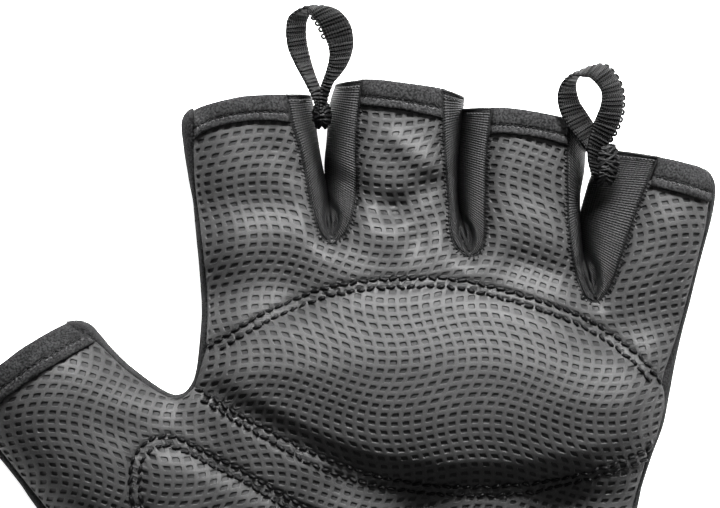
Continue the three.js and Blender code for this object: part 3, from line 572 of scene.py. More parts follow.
def grip_leather(name, polygon, wall):
    low, high = polygon.min(axis=0) - 4, polygon.max(axis=0) + 4
    columns = np.arange(math.floor(low[0] / CELL_WIDE) - 12, math.ceil(high[0] / CELL_WIDE) + 12)
    rows = np.arange(math.floor(low[1] / CELL_TALL) - 16, math.ceil(high[1] / CELL_TALL) + 16)
    grid_c, grid_r = np.meshgrid(columns, rows)
    corners = lattice_corner(grid_c.ravel().astype(float), grid_r.ravel().astype(float))
    index = np.arange(corners.shape[0]).reshape(grid_c.shape)
    quads = np.stack((index[:-1, :-1], index[:-1, 1:], index[1:, 1:], index[1:, :-1]), -1).reshape(-1, 4)
    placed, quads, fullness = clipped_cells(corners, quads, polygon, 0.02)
    middles = placed[quads].mean(axis=1)
    to_stitches = np.min([nearest_on(run[::2], middles)[0] for run, _, _ in GROOVES], axis=0)
    # sunk sets each cell's depth and also how much painted shade its walls and floor get.
    sunk = np.clip((fullness - 0.3) / 0.25, 0, 1) * np.clip((to_stitches - 0.2) / 1.0, 0.15, 1)
    used, place = np.unique(quads, return_inverse=True)
    place = place.reshape(quads.shape)
    count = len(quads)
    flat, depth, shade = [placed[used]], [np.full(len(used), -BAR_CROWN)], [np.zeros(len(used))]
    for side, near, far, sink in CELL_RINGS:
        for spot in cell_ring(placed[quads], side, near, far):
            flat.append(spot)
            depth.append(sink * sunk)
            # Painted shade: each ring's share of the full depth becomes the sunk attribute, which darkens the colour
            # of deeper rings.
            shade.append(np.full(count, sink / CELL_RINGS[-1][3]) * sunk)
    top = on_surface(np.vstack(flat), np.concatenate(depth))
    ring = [[len(used) + (8 * level + k) * count + np.arange(count) for k in range(8)] for level in range(len(CELL_RINGS))]
    faces = []
    for k in range(4):
        here, onward, spot = place[:, k], place[:, (k + 1) % 4], ring[0]
        faces += np.stack((here, onward, spot[2 * k + 1], spot[2 * k]), -1).tolist()
        faces += np.stack((onward, spot[(2 * k + 2) % 8], spot[2 * k + 1]), -1).tolist()
    for first, second in zip(ring, ring[1:]):
        for k in range(8):
            n = (k + 1) % 8
            faces += np.stack((first[k], first[n], second[n], second[k]), -1).tolist()
    faces += np.stack(ring[-1], -1).tolist()
    under = on_surface(placed[used], np.full(len(used), wall))
    base = len(top)
    edges = np.vstack([np.stack((place[:, k], place[:, (k + 1) % 4]), -1) for k in range(4)])
    keys = {tuple(edge) for edge in edges.tolist()}
    rim = [(b, a, a + base, b + base) for a, b in edges.tolist() if (b, a) not in keys]
    faces = faces + (place[:, ::-1] + base).tolist() + rim
    points = np.vstack((top, under))
    painted_shades = np.concatenate(shade + [np.zeros(len(used))])
    return new_object(name, points, faces, LEATHER_LOOK, (("sunk", painted_shades),), points[:, :2])


# Stitches and seams

def stitch_row(run, pitch, length, radius, sink, seed, lift=0.0):
    """Single stitches along a plan run, lying on the palm side with their ends sunk into it."""
    rng = np.random.default_rng(seed)
    walked = even_run(run, pitch)
    shares = np.array((-1, -0.82, -0.45, 0, 0.45, 0.82, 1))
    parts = []
    flats = []
    for a, b in zip(walked, walked[1:]):
        along = (b - a) / np.linalg.norm(b - a)
        side = np.array((-along[1], along[0]))
        reach = length * (0.9 + 0.2 * rng.random()) / 2
        skew = side * 0.7 * (rng.random() - 0.5)
        flats.append((a + b) / 2 + side * 0.14 * (rng.random() - 0.5) + shares[:, None] * (along * reach + skew))
    z = height(np.vstack(flats)).reshape(-1, len(shares)) + lift + radius * 0.75 - sink * np.abs(shares) ** 4
    for flat, level in zip(flats, z):
        thick = radius * np.array((0.55, 0.9, 1, 1, 1, 0.9, 0.55)) * (0.85 + 0.3 * rng.random())
        parts.append(tube(np.column_stack((flat, level)), thick, 6))
    return parts


def crossing_stitches(run, pitch, length, radius, lift, seed):
    """Short stitches across a seam, a little uneven."""
    rng = np.random.default_rng(seed)
    walked = even_run(run, pitch)
    along = np.gradient(walked, axis=0)
    along /= np.linalg.norm(along, axis=1)[:, None]
    side = np.column_stack((-along[:, 1], along[:, 0]))
    shares = np.array((-1, -0.6, 0, 0.6, 1))
    parts = []
    for spot, way, lean in zip(walked, side, along):
        reach = length / 2 * (0.75 + 0.5 * rng.random())
        flat = spot + shares[:, None] * (way * reach + lean * 0.3 * reach)
        level = height(flat, grooves=False) + lift - 0.35 * shares ** 2
        parts.append(tube(np.column_stack((flat, level)), radius * (0.8 + 0.4 * rng.random()), 5))
    return parts


def seam_cord(run, radius, lift, step=0.5):
    """A thin round cord along a plan run on the palm side."""
    flat = even_run(run, step)
    return tube(np.column_stack((flat, height(flat, grooves=False) + lift)), radius, 8)


# Materials

def material(name, color, roughness, **sockets):
    made = bpy.data.materials.new(name)
    made.use_nodes = True
    shader = made.node_tree.nodes["Principled BSDF"]
    shader.inputs["Base Color"].default_value = (*color, 1)
    shader.inputs["Roughness"].default_value = roughness
    for key, value in sockets.items():
        shader.inputs[key.replace("_", " ")].default_value = value
    return made, made.node_tree, shader


def noise(tree, scale, detail=3.0, source=None):
    node = tree.nodes.new("ShaderNodeTexNoise")
    node.inputs["Scale"].default_value = scale
    node.inputs["Detail"].default_value = detail
    if source is not None:
        tree.links.new(source, node.inputs["Vector"])
    return node.outputs["Fac"]


def math_node(tree, kind, a, b=None):
    node = tree.nodes.new("ShaderNodeMath")
    node.operation = kind
    for socket, value in zip(node.inputs, (a, b)):
        if value is None:
            continue
        if isinstance(value, (int, float)):
            socket.default_value = value
        else:
            tree.links.new(value, socket)
    return node.outputs[0]


def ramp(tree, source, stops):
    node = tree.nodes.new("ShaderNodeValToRGB")
    for stop, (place, color) in zip(node.color_ramp.elements, stops):
        stop.position, stop.color = place, (*color, 1)
    for place, color in stops[2:]:
        node.color_ramp.elements.new(place).color = (*color, 1)
    tree.links.new(source, node.inputs["Fac"])
    return node.outputs["Color"]


def mix(tree, factor, a, b, mode="MIX"):
    node = tree.nodes.new("ShaderNodeMix")
    node.data_type, node.blend_type = "RGBA", mode
    for socket, value in zip((node.inputs[0], node.inputs[6], node.inputs[7]), (factor, a, b)):
        if isinstance(value, (int, float)):
            socket.default_value = value
        elif isinstance(value, tuple):
            socket.default_value = (*value, 1)
        else:
            tree.links.new(value, socket)
    return node.outputs[2]


def bump(tree, shader, source, distance, strength=1.0):
    node = tree.nodes.new("ShaderNodeBump")
    node.inputs["Distance"].default_value = distance * MM
    node.inputs["Strength"].default_value = strength
    tree.links.new(source, node.inputs["Height"])
    previous = shader.inputs["Normal"].links
    if previous:
        tree.links.new(previous[0].from_socket, node.inputs["Normal"])
    tree.links.new(node.outputs["Normal"], shader.inputs["Normal"])


def object_place(tree):
    return tree.nodes.new("ShaderNodeTexCoord").outputs["Object"]


def cloth_uv(tree):
    node = tree.nodes.new("ShaderNodeUVMap")
    node.uv_map = "cloth"
    split = tree.nodes.new("ShaderNodeSeparateXYZ")
    tree.links.new(node.outputs["UV"], split.inputs[0])
    return split.outputs["X"], split.outputs["Y"]


def wave(tree, source, pitch):
    """A smooth ridge every pitch, from 0 to 1."""
    turned = math_node(tree, "MULTIPLY", source, 2 * math.pi / pitch)
    return math_node(tree, "MULTIPLY", math_node(tree, "ADD", math_node(tree, "SINE", turned), 1.0), 0.5)


def leather_material():
    made, tree, shader = material("grip_leather", (0.04, 0.04, 0.04), 0.52)
    place = object_place(tree)
    # Painted shade: the sunk attribute mixes the bar colour towards a darker grey on the cell walls and floors.
    sunk = tree.nodes.new("ShaderNodeAttribute")
    sunk.attribute_name = "sunk"
    tone = ramp(tree, noise(tree, 120, 5, place), ((0.3, (0.0295, 0.0295, 0.0297)), (0.72, (0.0405, 0.0404, 0.0405))))
    fine = ramp(tree, noise(tree, 3500, 2, place), ((0.35, (0.85, 0.85, 0.85)), (0.65, (1.12, 1.12, 1.12))))
    bar = mix(tree, 1.0, tone, fine, "MULTIPLY")
    color = mix(tree, sunk.outputs["Fac"], bar, (0.0145, 0.0145, 0.0147))
    tree.links.new(color, shader.inputs["Base Color"])
    bump(tree, shader, noise(tree, 4200, 4, place), 0.02)
    bump(tree, shader, noise(tree, 900, 3, place), 0.05)
    shader.inputs["Specular IOR Level"].default_value = 0.2
    return made


def felt_material(name, dark, light):
    made, tree, shader = material(name, dark, 0.95)
    place = object_place(tree)
    speck = ramp(tree, noise(tree, 2200, 3, place), ((0.4, dark), (0.66, light)))
    patch = ramp(tree, noise(tree, 260, 3, place), ((0.3, (0.8, 0.8, 0.8)), (0.7, (1.2, 1.2, 1.2))))
    tree.links.new(mix(tree, 1.0, speck, patch, "MULTIPLY"), shader.inputs["Base Color"])
    bump(tree, shader, noise(tree, 1900, 3, place), 0.2)
    shader.inputs["Specular IOR Level"].default_value = 0.1
    return made


def knit_material():
    made, tree, shader = material("stretch_knit", (0.01, 0.01, 0.01), 0.45)
    u, v = cloth_uv(tree)
    rib = wave(tree, u, 0.5)
    column = wave(tree, v, 0.62)
    woven = math_node(tree, "ADD", rib, math_node(tree, "MULTIPLY", column, 0.3))
    shade = ramp(tree, math_node(tree, "MULTIPLY", woven, 0.77), ((0.25, (0.001, 0.001, 0.001)), (0.9, (0.031, 0.031, 0.0315))))
    # Painted shade: the dark attribute mixes the rib colour towards near black inside the gap.
    dark = tree.nodes.new("ShaderNodeAttribute")
    dark.attribute_name = "dark"
    tree.links.new(mix(tree, dark.outputs["Fac"], shade, (0.0012, 0.0012, 0.0013)), shader.inputs["Base Color"])
    bump(tree, shader, woven, 0.14)
    shader.inputs["Specular IOR Level"].default_value = 0.12
    return made


def webbing_material():
    made, tree, shader = material("webbing", (0.006, 0.006, 0.006), 0.55)
    u, v = cloth_uv(tree)
    rib = wave(tree, u, 0.72)
    cross = wave(tree, v, 0.6)
    woven = math_node(tree, "ADD", rib, math_node(tree, "MULTIPLY", cross, 0.6))
    shade = ramp(tree, math_node(tree, "MULTIPLY", woven, 0.62), ((0.2, (0.0005, 0.0005, 0.0005)), (0.95, (0.005, 0.005, 0.0051))))
    tree.links.new(shade, shader.inputs["Base Color"])
    bump(tree, shader, woven, 0.25)
    shader.inputs["Specular IOR Level"].default_value = 0.15
    return made


def thread_material(name, dark, light):
    made, tree, shader = material(name, dark, 0.5)
    place = object_place(tree)
    bump(tree, shader, noise(tree, 5200, 2, place), 0.05)
    tree.links.new(ramp(tree, noise(tree, 1800, 2, place), ((0.3, dark), (0.7, light))), shader.inputs["Base Color"])
    shader.inputs["Specular IOR Level"].default_value = 0.15
    return made


LEATHER_LOOK = leather_material()
FELT_LOOK = felt_material("brushed_felt", (0.006, 0.006, 0.0062), (0.03, 0.03, 0.0304))
BACK_LOOK = felt_material("back_fabric", (0.002, 0.002, 0.0021), (0.02, 0.02, 0.0205))
KNIT_LOOK = knit_material()
WEBBING_LOOK = webbing_material()
THREAD_LOOK = thread_material("thread", (0.0008, 0.0008, 0.0009), (0.004, 0.004, 0.0042))
LIGHT_THREAD_LOOK = thread_material("felt_loops", (0.02, 0.02, 0.02), (0.08, 0.08, 0.081))


def finish_piece(obj, *nodes, slot=None):
    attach(obj, "root")
    if nodes:
        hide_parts(*nodes)
    return obj


# The floor

def add_floor():
    half = 2500.0
    points = [(-half, -half, -0.05), (half, -half, -0.05), (half, half, -0.05), (-half, half, -0.05)]
    made, tree, shader = material("floor", (0.93, 0.93, 0.93), 0.9)
    shade = ramp(tree, noise(tree, 3, 2, object_place(tree)), ((0.3, (0.92, 0.92, 0.92)), (0.7, (0.94, 0.94, 0.94))))
    tree.links.new(shade, shader.inputs["Base Color"])
    shader.inputs["Specular IOR Level"].default_value = 0.1
    shader.inputs["Emission Color"].default_value = (1, 1, 1, 1)
    shader.inputs["Emission Strength"].default_value = 0.9
    new_object("floor", points, [(0, 1, 2, 3)], made)


add_floor()

# Leather panels and pads


def hem_line(name, share):
    """The run at a share of a hem's depth."""
    upper, lower = HEMS[name]
    return upper + (lower - upper) * share


UNDER_HEM = 0.72


def slot_seam(name, left_hem, right_hem):
    """A gap's seam below the two hems beside it, from left to right."""
    left, right = even_run(SLOTS[name]["left"], 1.0), even_run(SLOTS[name]["right"], 1.0)
    left_low = hem_line(left_hem, UNDER_HEM)[-1, 1]
    right_low = hem_line(right_hem, UNDER_HEM)[0, 1]
    return np.vstack((left[left[:, 1] < left_low], right[right[:, 1] < right_low][::-1]))


def leather_polygons():
    palm = np.vstack((
        hem_line("index_hem", UNDER_HEM), slot_seam("index_middle", "index_hem", "middle_hem"),
        hem_line("middle_hem", UNDER_HEM), slot_seam("middle_ring", "middle_hem", "ring_hem"),
        hem_line("ring_hem", UNDER_HEM), slot_seam("ring_little", "ring_hem", "little_hem"),
        hem_line("little_hem", UNDER_HEM),
        even_run(LEATHER_LITTLE[:LEATHER_LITTLE_PALM], 1.5), even_run(PAD_TOP_ROW, 1.5)[::-1],
        even_run(LEATHER_INDEX[:11], 1.5)[::-1],
    ))
    pad = np.vstack((even_run(PAD_TOP_ROW, 1.5), PAD_OUTER_EDGE, even_run(PAD_LOW_ROW, 1.5)[::-1]))
    heel = np.vstack((
        hem_line("thumb_hem", UNDER_HEM)[::-1], even_run(LEATHER_OUTER, 2.0)[2:], plan((604, 768)),
        even_run(LEATHER_LITTLE[LEATHER_LITTLE_HEEL:][::-1], 2.0), even_run(PAD_LOW_ROW, 1.5)[::-1],
        even_run(LEATHER_THUMB[:7], 1.5),
    ))
    ring = even_run(np.vstack((HEEL_EDGE, HEEL_EDGE[:1])), 1.5)
    near = np.hypot(*(heel - ring[0]).T).argmin()
    turned = ring[::-1] if signed_area(heel) * signed_area(ring) > 0 else ring
    heel_round = np.vstack((heel[:near + 1], turned, heel[near:]))
    return palm, pad, heel_round, ring[:-1]


def signed_area(polygon):
    x, y = polygon.T
    return 0.5 * (x * np.roll(y, -1) - y * np.roll(x, -1)).sum()


palm_polygon, pad_polygon, heel_polygon, heel_pad_polygon = leather_polygons()
PAD_WALL = 4.0
palm_panel = finish_piece(grip_leather("palm_leather", palm_polygon, LEATHER), "palm_panel", slot="grip_leather")
heel_panel = finish_piece(grip_leather("heel_leather", heel_polygon, LEATHER), "heel_panel", slot="grip_leather")
palm_pad = finish_piece(grip_leather("palm_pad_leather", pad_polygon, PAD_WALL), "palm_pad", slot="grip_leather")
heel_pad = finish_piece(grip_leather("heel_pad_leather", heel_pad_polygon, PAD_WALL), "heel_pad", slot="grip_leather")

# Gussets between the fingers

# A face's section from its seam: share of the way to the lip, and drop as a share of the face's width.
GUSSET_CROWN = (
    (0.0, 0.02), (0.05, -0.03), (0.14, -0.05), (0.26, -0.02), (0.38, 0.05), (0.5, 0.15), (0.61, 0.3), (0.71, 0.5),
    (0.8, 0.76), (0.88, 1.05), (0.94, 1.35), (0.98, 1.62), (1.0, 1.9),
)
# The same near the bottom of a gap, where each face rolls over and a pocket lies between the two rolls.
GUSSET_POCKET = (
    (0.0, 0.02), (0.05, -0.08), (0.14, -0.14), (0.26, -0.1), (0.36, 0.05), (0.44, 0.32), (0.49, 0.68), (0.54, 0.86),
    (0.62, 0.72), (0.74, 0.66), (0.86, 0.76), (0.94, 0.98), (1.0, 1.5),
)
POCKET_START = 0.62
POCKET_FULL = 0.8
# Below the lip: share of the way to the lip, and share of the way down to the back.
GUSSET_UNDER = ((1.0, 0.2), (0.97, 0.42), (0.88, 0.62), (0.72, 0.79), (0.5, 0.91), (0.26, 0.97), (0.03, 1.0))
GUSSET_FOOT = 0.4
GUSSET_WALL = 0.9
GUSSET_STATIONS = 150
WIDEST_DROP = 4.2


def by_index(run, count):
    """A smooth curve through a run's points, with as many steps between each two."""
    padded = np.vstack((2 * run[0] - run[1], run, 2 * run[-1] - run[-2]))
    at = np.linspace(0, len(run) - 1, count)
    first = np.minimum(at.astype(int), len(run) - 2)
    t = (at - first)[:, None]
    p0, p1, p2, p3 = (padded[first + k] for k in range(4))
    return 0.5 * (
        2 * p1 + (p2 - p0) * t + (2 * p0 - 5 * p1 + 4 * p2 - p3) * t ** 2 + (3 * p1 - p0 - 3 * p2 + p3) * t ** 3
    )


def gusset_grid(seam, lip):
    """A gusset face's points and its painted shade, from 0 to 1: darker towards the lip, less so in the pocket, full
    under the lip.
    """
    seam, lip = by_index(seam, GUSSET_STATIONS), by_index(lip, GUSSET_STATIONS)
    top = height(seam, grooves=False) - 0.1
    width = np.minimum(np.linalg.norm(lip - seam, axis=1), WIDEST_DROP)
    pocket = smooth((np.linspace(0, 1, GUSSET_STATIONS) - POCKET_START) / (POCKET_FULL - POCKET_START))
    grid, dark = [], []
    for (share, drop), (low_share, low_drop) in zip(GUSSET_CROWN, GUSSET_POCKET):
        way = (share + (low_share - share) * pocket)[:, None]
        grid.append(np.column_stack((seam + (lip - seam) * way, top - width * (drop + (low_drop - drop) * pocket))))
        # Painted shade, growing towards the lip and weaker where the face rolls into the pocket.
        dark.append(smooth((way[:, 0] - 0.4) / 0.55) * (1 - 0.75 * pocket))
    low = top - width * (GUSSET_CROWN[-1][1] + (GUSSET_POCKET[-1][1] - GUSSET_CROWN[-1][1]) * pocket)
    for share, down in GUSSET_UNDER:
        grid.append(np.column_stack((seam + (lip - seam) * share, low + (GUSSET_FOOT - low) * down)))
        # The faces under the lip get full painted shade.
        dark.append(np.ones(GUSSET_STATIONS))
    return np.stack(grid, axis=1), np.stack(dark, axis=1)


def add_gussets():
    for key, slot in SLOTS.items():
        for side in ("left", "right"):
            # dark carries the painted shade of the gap onto the face.
            grid, dark = gusset_grid(slot[side], slot[side + "_lip"])
            way = slot[side + "_lip"][2] - slot[side][2]
            facing = (*(way / np.linalg.norm(way)), 0.6)
            made = shell(f"{key}_{side}_stretch_gusset", grid, GUSSET_WALL, KNIT_LOOK, facing, (("dark", dark),))
            finish_piece(made, f"{key}_gusset", slot="stretch_knit")


add_gussets()


TOP_STITCH_STATION = 5


def add_gusset_trims():
    for key, slot in SLOTS.items():
        seam = np.vstack((slot["left"], slot["right"][::-1]))
        finish_piece(joined(f"{key}_seam_piping", [seam_cord(seam, 0.3, -0.05)], THREAD_LOOK))
        teeth = crossing_stitches(even_run(seam, 1.0)[6:-6], 0.85, 1.5, 0.2, 0.16, seed=5)
        finish_piece(joined(f"{key}_seam_stitches", teeth, THREAD_LOOK))
        for side in ("left", "right"):
            grid = gusset_grid(slot[side], slot[side + "_lip"])[0]
            finish_piece(joined(f"{key}_{side}_edge_binding", [tube(grid[1, :11], 0.3, 10)], KNIT_LOOK))
            row = even_run(grid[TOP_STITCH_STATION, 1:9], 0.4) + (0, 0, 0.12)
            dashes = [tube(row[k:k + 2], 0.13, 5) for k in range(0, len(row) - 1, 2)]
            finish_piece(joined(f"{key}_{side}_edge_stitches", dashes, LIGHT_THREAD_LOOK))


add_gusset_trims()

# Hems at the openings

# Down from the opening's edge as a share of the hem's depth, and lift above the leather in mm.
HEM_SECTION = (
    (0.82, -1.3), (0.5, -1.9), (0.2, -2.5), (0.07, -2.0), (0.015, -1.2), (0.0, -0.45), (0.03, 0.15), (0.1, 0.5), (0.24, 0.68), (0.42, 0.72),
    (0.54, 0.6), (0.61, 0.36), (0.65, 0.0), (0.69, 0.5), (0.75, 1.0), (0.83, 1.28), (0.91, 1.25), (0.975, 0.95),
    (1.0, 0.4), (0.98, -0.4),
)
HEM_STITCH_SHARE = 0.65


def hem_grid(name):
    upper, lower = HEMS[name]
    count = int(np.linalg.norm(np.diff(upper, axis=0), axis=1).sum() / 0.45)
    upper, lower = by_index(upper, count), by_index(lower, count)
    rng = np.random.default_rng(len(name))
    knots = np.arange(0, count + 3, 3)
    puckers = np.interp(np.arange(count), knots, rng.normal(0, 0.09, len(knots)))
    grid = []
    for share, lift in HEM_SECTION:
        flat = upper + (lower - upper) * share
        wavy = 1.0 if share > HEM_STITCH_SHARE else 0.3
        grid.append(np.column_stack((flat, height(flat, grooves=False) + lift + puckers * wavy)))
    return np.array(grid)


def add_hems():
    for name in HEMS:
        made = shell(f"{name}_felt", hem_grid(name), 0.5, FELT_LOOK, (0, 0, 1))
        finish_piece(made, name, slot="brushed_felt")
        row = even_run(hem_line(name, HEM_STITCH_SHARE), 0.5)
        dark = stitch_row(row[1:-1], 1.3, 0.9, 0.17, 0.3, seed=7, lift=0.34)
        finish_piece(joined(f"{name}_stitches", dark, THREAD_LOOK))
        row = even_run(hem_line(name, HEM_STITCH_SHARE + 0.08), 0.5)
        light = stitch_row(row[1:-1], 0.95, 0.6, 0.14, 0.3, seed=8, lift=0.82)
        finish_piece(joined(f"{name}_felt_loops", light, LIGHT_THREAD_LOOK))


add_hems()


# Back fabric

# Distances in mm that the back fabric reaches in under the leather, and how deep it lies in the leather's wall.
SIDE_LAPS = (2.0, 1.4, 0.7)
LAP_DEPTH = 1.1
# Share of the way from the leather's edge to the side seam, and height as a share of the leather's edge.
SIDE_CROWN = ((0.0, 0.965), (0.3, 0.95), (0.6, 0.89), (0.85, 0.79), (0.97, 0.68), (1.0, 0.56))
# Below the side: distance in, and height as a share.
SIDE_UNDER = ((0.0, 0.44), (0.12, 0.31), (0.5, 0.19), (1.2, 0.09), (2.3, 0.025), (4.0, 0.0), (6.5, 0.0))
LEATHER_EDGES = {
    "index": np.vstack((LEATHER_INDEX, LEATHER_THUMB)), "thumb": LEATHER_OUTER,
    "little": np.vstack((plan((704, 172), (709.5, 177), (712, 186)), LEATHER_LITTLE)),
}
BACK_WALL = 1.0


def outward(run):
    along = np.gradient(run, axis=0)
    along /= np.linalg.norm(along, axis=1)[:, None]
    out = np.column_stack((along[:, 1], -along[:, 0]))
    middle = len(run) // 2
    return -out if points_inside(OUTLINE, (run[middle] + out[middle])[None])[0] else out


def side_grid(name):
    run = even_run(SIDES[name], 0.9)
    out = outward(run)
    distance, leather_edge, _ = nearest_on(LEATHER_EDGES[name], run)
    inward = leather_edge - run
    high = height(leather_edge, grooves=False) - 0.1
    grid = []
    for lap in SIDE_LAPS:
        under = leather_edge - out * lap
        grid.append(np.column_stack((under, height(under, grooves=False) - LAP_DEPTH)))
    for share, rise in SIDE_CROWN:
        grid.append(np.column_stack((run + inward * (1 - share), high * rise)))
    for tuck, rise in SIDE_UNDER:
        grid.append(np.column_stack((run - out * tuck, high * rise)))
    return np.array(grid), out


def back_plate():
    """The flat of the back that the glove lies on."""
    step = 3.0
    tips = [hem_line(name, 0.1) for name in ("index_hem", "middle_hem", "ring_hem", "little_hem")]
    seams = [np.vstack((slot["left"], slot["right"][::-1])) for slot in SLOTS.values()]
    inner = {name: run - outward(run) * 3.6 for name, run in ((k, even_run(v, 2.0)) for k, v in SIDES.items())}
    polygon = np.vstack((
        tips[0], seams[0], tips[1], seams[1], tips[2], seams[2], tips[3], inner["little"][::-1],
        inner["thumb"][::-1], hem_line("thumb_hem", 0.1), inner["index"][::-1],
    ))
    across, along = np.meshgrid(np.arange(-118, 75, step), np.arange(-80, 80, step))
    corners = np.column_stack((across.ravel(), along.ravel())).astype(float)
    index = np.arange(len(corners)).reshape(across.shape)
    quads = np.stack((index[:-1, :-1], index[:-1, 1:], index[1:, 1:], index[1:, :-1]), -1).reshape(-1, 4)
    placed, quads, _ = clipped_cells(corners, quads, polygon, 0.05)
    used, place = np.unique(quads, return_inverse=True)
    place = place.reshape(quads.shape)
    flat = placed[used]
    top = np.column_stack((flat, np.full(len(flat), BACK_WALL)))
    under = np.column_stack((flat, np.full(len(flat), 0.02)))
    points, faces = close_up(top, place, place, under)
    return new_object("back_fabric", points, faces, BACK_LOOK, uvs=points[:, :2])


def add_back():
    finish_piece(back_plate(), "back_panel", slot="back_fabric")
    for name in SIDES:
        grid, out = side_grid(name)
        middle = out[len(out) // 2]
        made = shell(f"{name}_side_fabric", grid, BACK_WALL, BACK_LOOK, (*middle, 0.3))
        finish_piece(made, "back_panel", slot="back_fabric")


add_back()

# Cuff and strap

CUFF_CENTRE = -5.7
CUFF_HALF_WIDTH = 40.3
CUFF_HEIGHT = 22.3
CUFF_SQUARENESS = 0.62
CUFF_RIBS = 88
CUFF_AROUND = CUFF_RIBS * 6
# Along the wrist from the leather's edge, and out from the cuff's plain face.
CUFF_PROFILE = (
    (-75.5, -2.4), (-77.2, -2.0), (-78.6, -1.0), (-79.6, -0.35), (-80.6, -0.1), (-82.5, 0.0), (-85, 0.0), (-88, -0.1),
    (-91, -0.05), (-93.5, 0.0), (-94.6, -0.25), (-95.1, -0.35), (-95.6, -0.15), (-96.6, 0.0), (-97.4, -0.2),
    (-97.85, -0.7), (-97.9, -1.2), (-97.6, -1.8), (-96.5, -2.1), (-92, -2.2), (-86, -2.2), (-80, -2.3), (-76.5, -2.8),
)


def cuff_spots(turn, out):
    def bend(value):
        return np.sign(value) * np.abs(value) ** CUFF_SQUARENESS

    x = CUFF_CENTRE + bend(np.cos(turn)) * (CUFF_HALF_WIDTH + out)
    return x, CUFF_HEIGHT / 2 + bend(np.sin(turn)) * (CUFF_HEIGHT / 2 + out)


def even_turns(count):
    """Turns about the cuff with even steps round it."""
    turn = np.linspace(0, 2 * math.pi, 4001)
    x, z = cuff_spots(turn, 0)
    walked = np.concatenate(([0], np.cumsum(np.hypot(np.diff(x), np.diff(z)))))
    return np.interp(np.arange(count) * walked[-1] / count, walked, turn)


def add_cuff():
    turn = even_turns(CUFF_AROUND)
    rib = 0.16 * np.cos(np.arange(CUFF_AROUND) * 2 * math.pi / 6)
    rings = []
    for along, out in CUFF_PROFILE:
        x, z = cuff_spots(turn, out + rib * (1.0 if out > -1 else 0.2))
        rings.append(np.column_stack((x, np.full(len(x), along), np.maximum(z, 0.05))))
    points = np.vstack(rings)
    faces = ring_faces(len(rings), CUFF_AROUND, closed=True)
    around = np.arange(CUFF_AROUND) * 2.2 / 6
    uvs = np.vstack([np.column_stack((around, np.full(CUFF_AROUND, along))) for along, _ in CUFF_PROFILE])
    finish_piece(new_object("wrist_cuff_knit", points, faces, CUFF_LOOK, uvs=uvs), "wrist_cuff", slot="back_fabric")


def cuff_material():
    made, tree, shader = material("rib_knit", (0.012, 0.012, 0.013), 0.9)
    u, v = cloth_uv(tree)
    loops = math_node(tree, "MULTIPLY", wave(tree, v, 0.5), wave(tree, u, 0.55))
    shade = ramp(tree, loops, ((0.05, (0.002, 0.002, 0.0022)), (0.8, (0.013, 0.013, 0.0135))))
    tree.links.new(shade, shader.inputs["Base Color"])
    bump(tree, shader, loops, 0.2)
    shader.inputs["Specular IOR Level"].default_value = 0.1
    return made


CUFF_LOOK = cuff_material()
add_cuff()

# Ribbons: a flat band between two edges in space, with raised ribs across it

def ribbon(name, left, right, thickness, rib_pitch, rib_rise, crown, look, columns=9):
    middle = (left + right) / 2
    along = np.gradient(middle, axis=0)
    along /= np.maximum(np.linalg.norm(along, axis=1)[:, None], 1e-9)
    normal = np.cross(along, right - left)
    normal /= np.maximum(np.linalg.norm(normal, axis=1)[:, None], 1e-9)
    walked = np.concatenate(([0], np.cumsum(np.linalg.norm(np.diff(middle, axis=0), axis=1))))
    rib = rib_rise * np.sin(walked * 2 * math.pi / rib_pitch)
    shares = np.linspace(0, 1, columns)
    rings, uvs = [], []
    for side in (1, -1):
        for share in (shares if side > 0 else shares[::-1]):
            edge = 1 - abs(2 * share - 1) ** 6
            rise = crown * (1 - (2 * share - 1) ** 2) + side * (thickness * (0.28 + 0.22 * edge) + rib * edge)
            rings.append(left + (right - left) * share + normal * rise[:, None])
            uvs.append(np.column_stack((walked, np.full(len(walked), share * np.linalg.norm(right[0] - left[0])))))
    points = np.stack(rings, axis=1)
    count = points.shape[1]
    faces = ring_faces(len(middle), count).tolist()
    last = (len(middle) - 1) * count
    faces += [tuple(reversed(range(count))), tuple(last + k for k in range(count))]
    obj = new_object(name, points.reshape(-1, 3), faces, look, uvs=np.stack(uvs, axis=1).reshape(-1, 2))
    return obj, normal


STRAP_WIDTH = 15.0
STRAP_WALL = 1.5
STRAP_MIDDLE = -88.0


def add_strap():
    turn = np.linspace(-0.1, 2.8, 400)
    x, z = cuff_spots(turn, 1.15)
    walked = np.concatenate(([0], np.cumsum(np.hypot(np.diff(x), np.diff(z)))))
    even = np.interp(np.linspace(0, walked[-1], 420), walked, turn)
    x, z = cuff_spots(even, 1.15)
    share = np.linspace(0, 1, len(even))
    rounding = np.sqrt(np.clip(1 - np.clip(1 - (1 - share) * walked[-1] / 5.0, 0, 1) ** 2, 0.02, 1))
    half = STRAP_WIDTH / 2 * rounding
    left = np.column_stack((x, STRAP_MIDDLE - half, z))
    right = np.column_stack((x, STRAP_MIDDLE + half, z))
    made, _ = ribbon("wrist_strap_webbing", left, right, STRAP_WALL, 0.9, 0.07, 0.0, WEBBING_LOOK, 13)
    finish_piece(made, "wrist_strap", slot="webbing")


add_strap()

# Webbing pull loops

RIBBON_WIDTH = 6.2
RIBBON_THICKNESS = 0.85
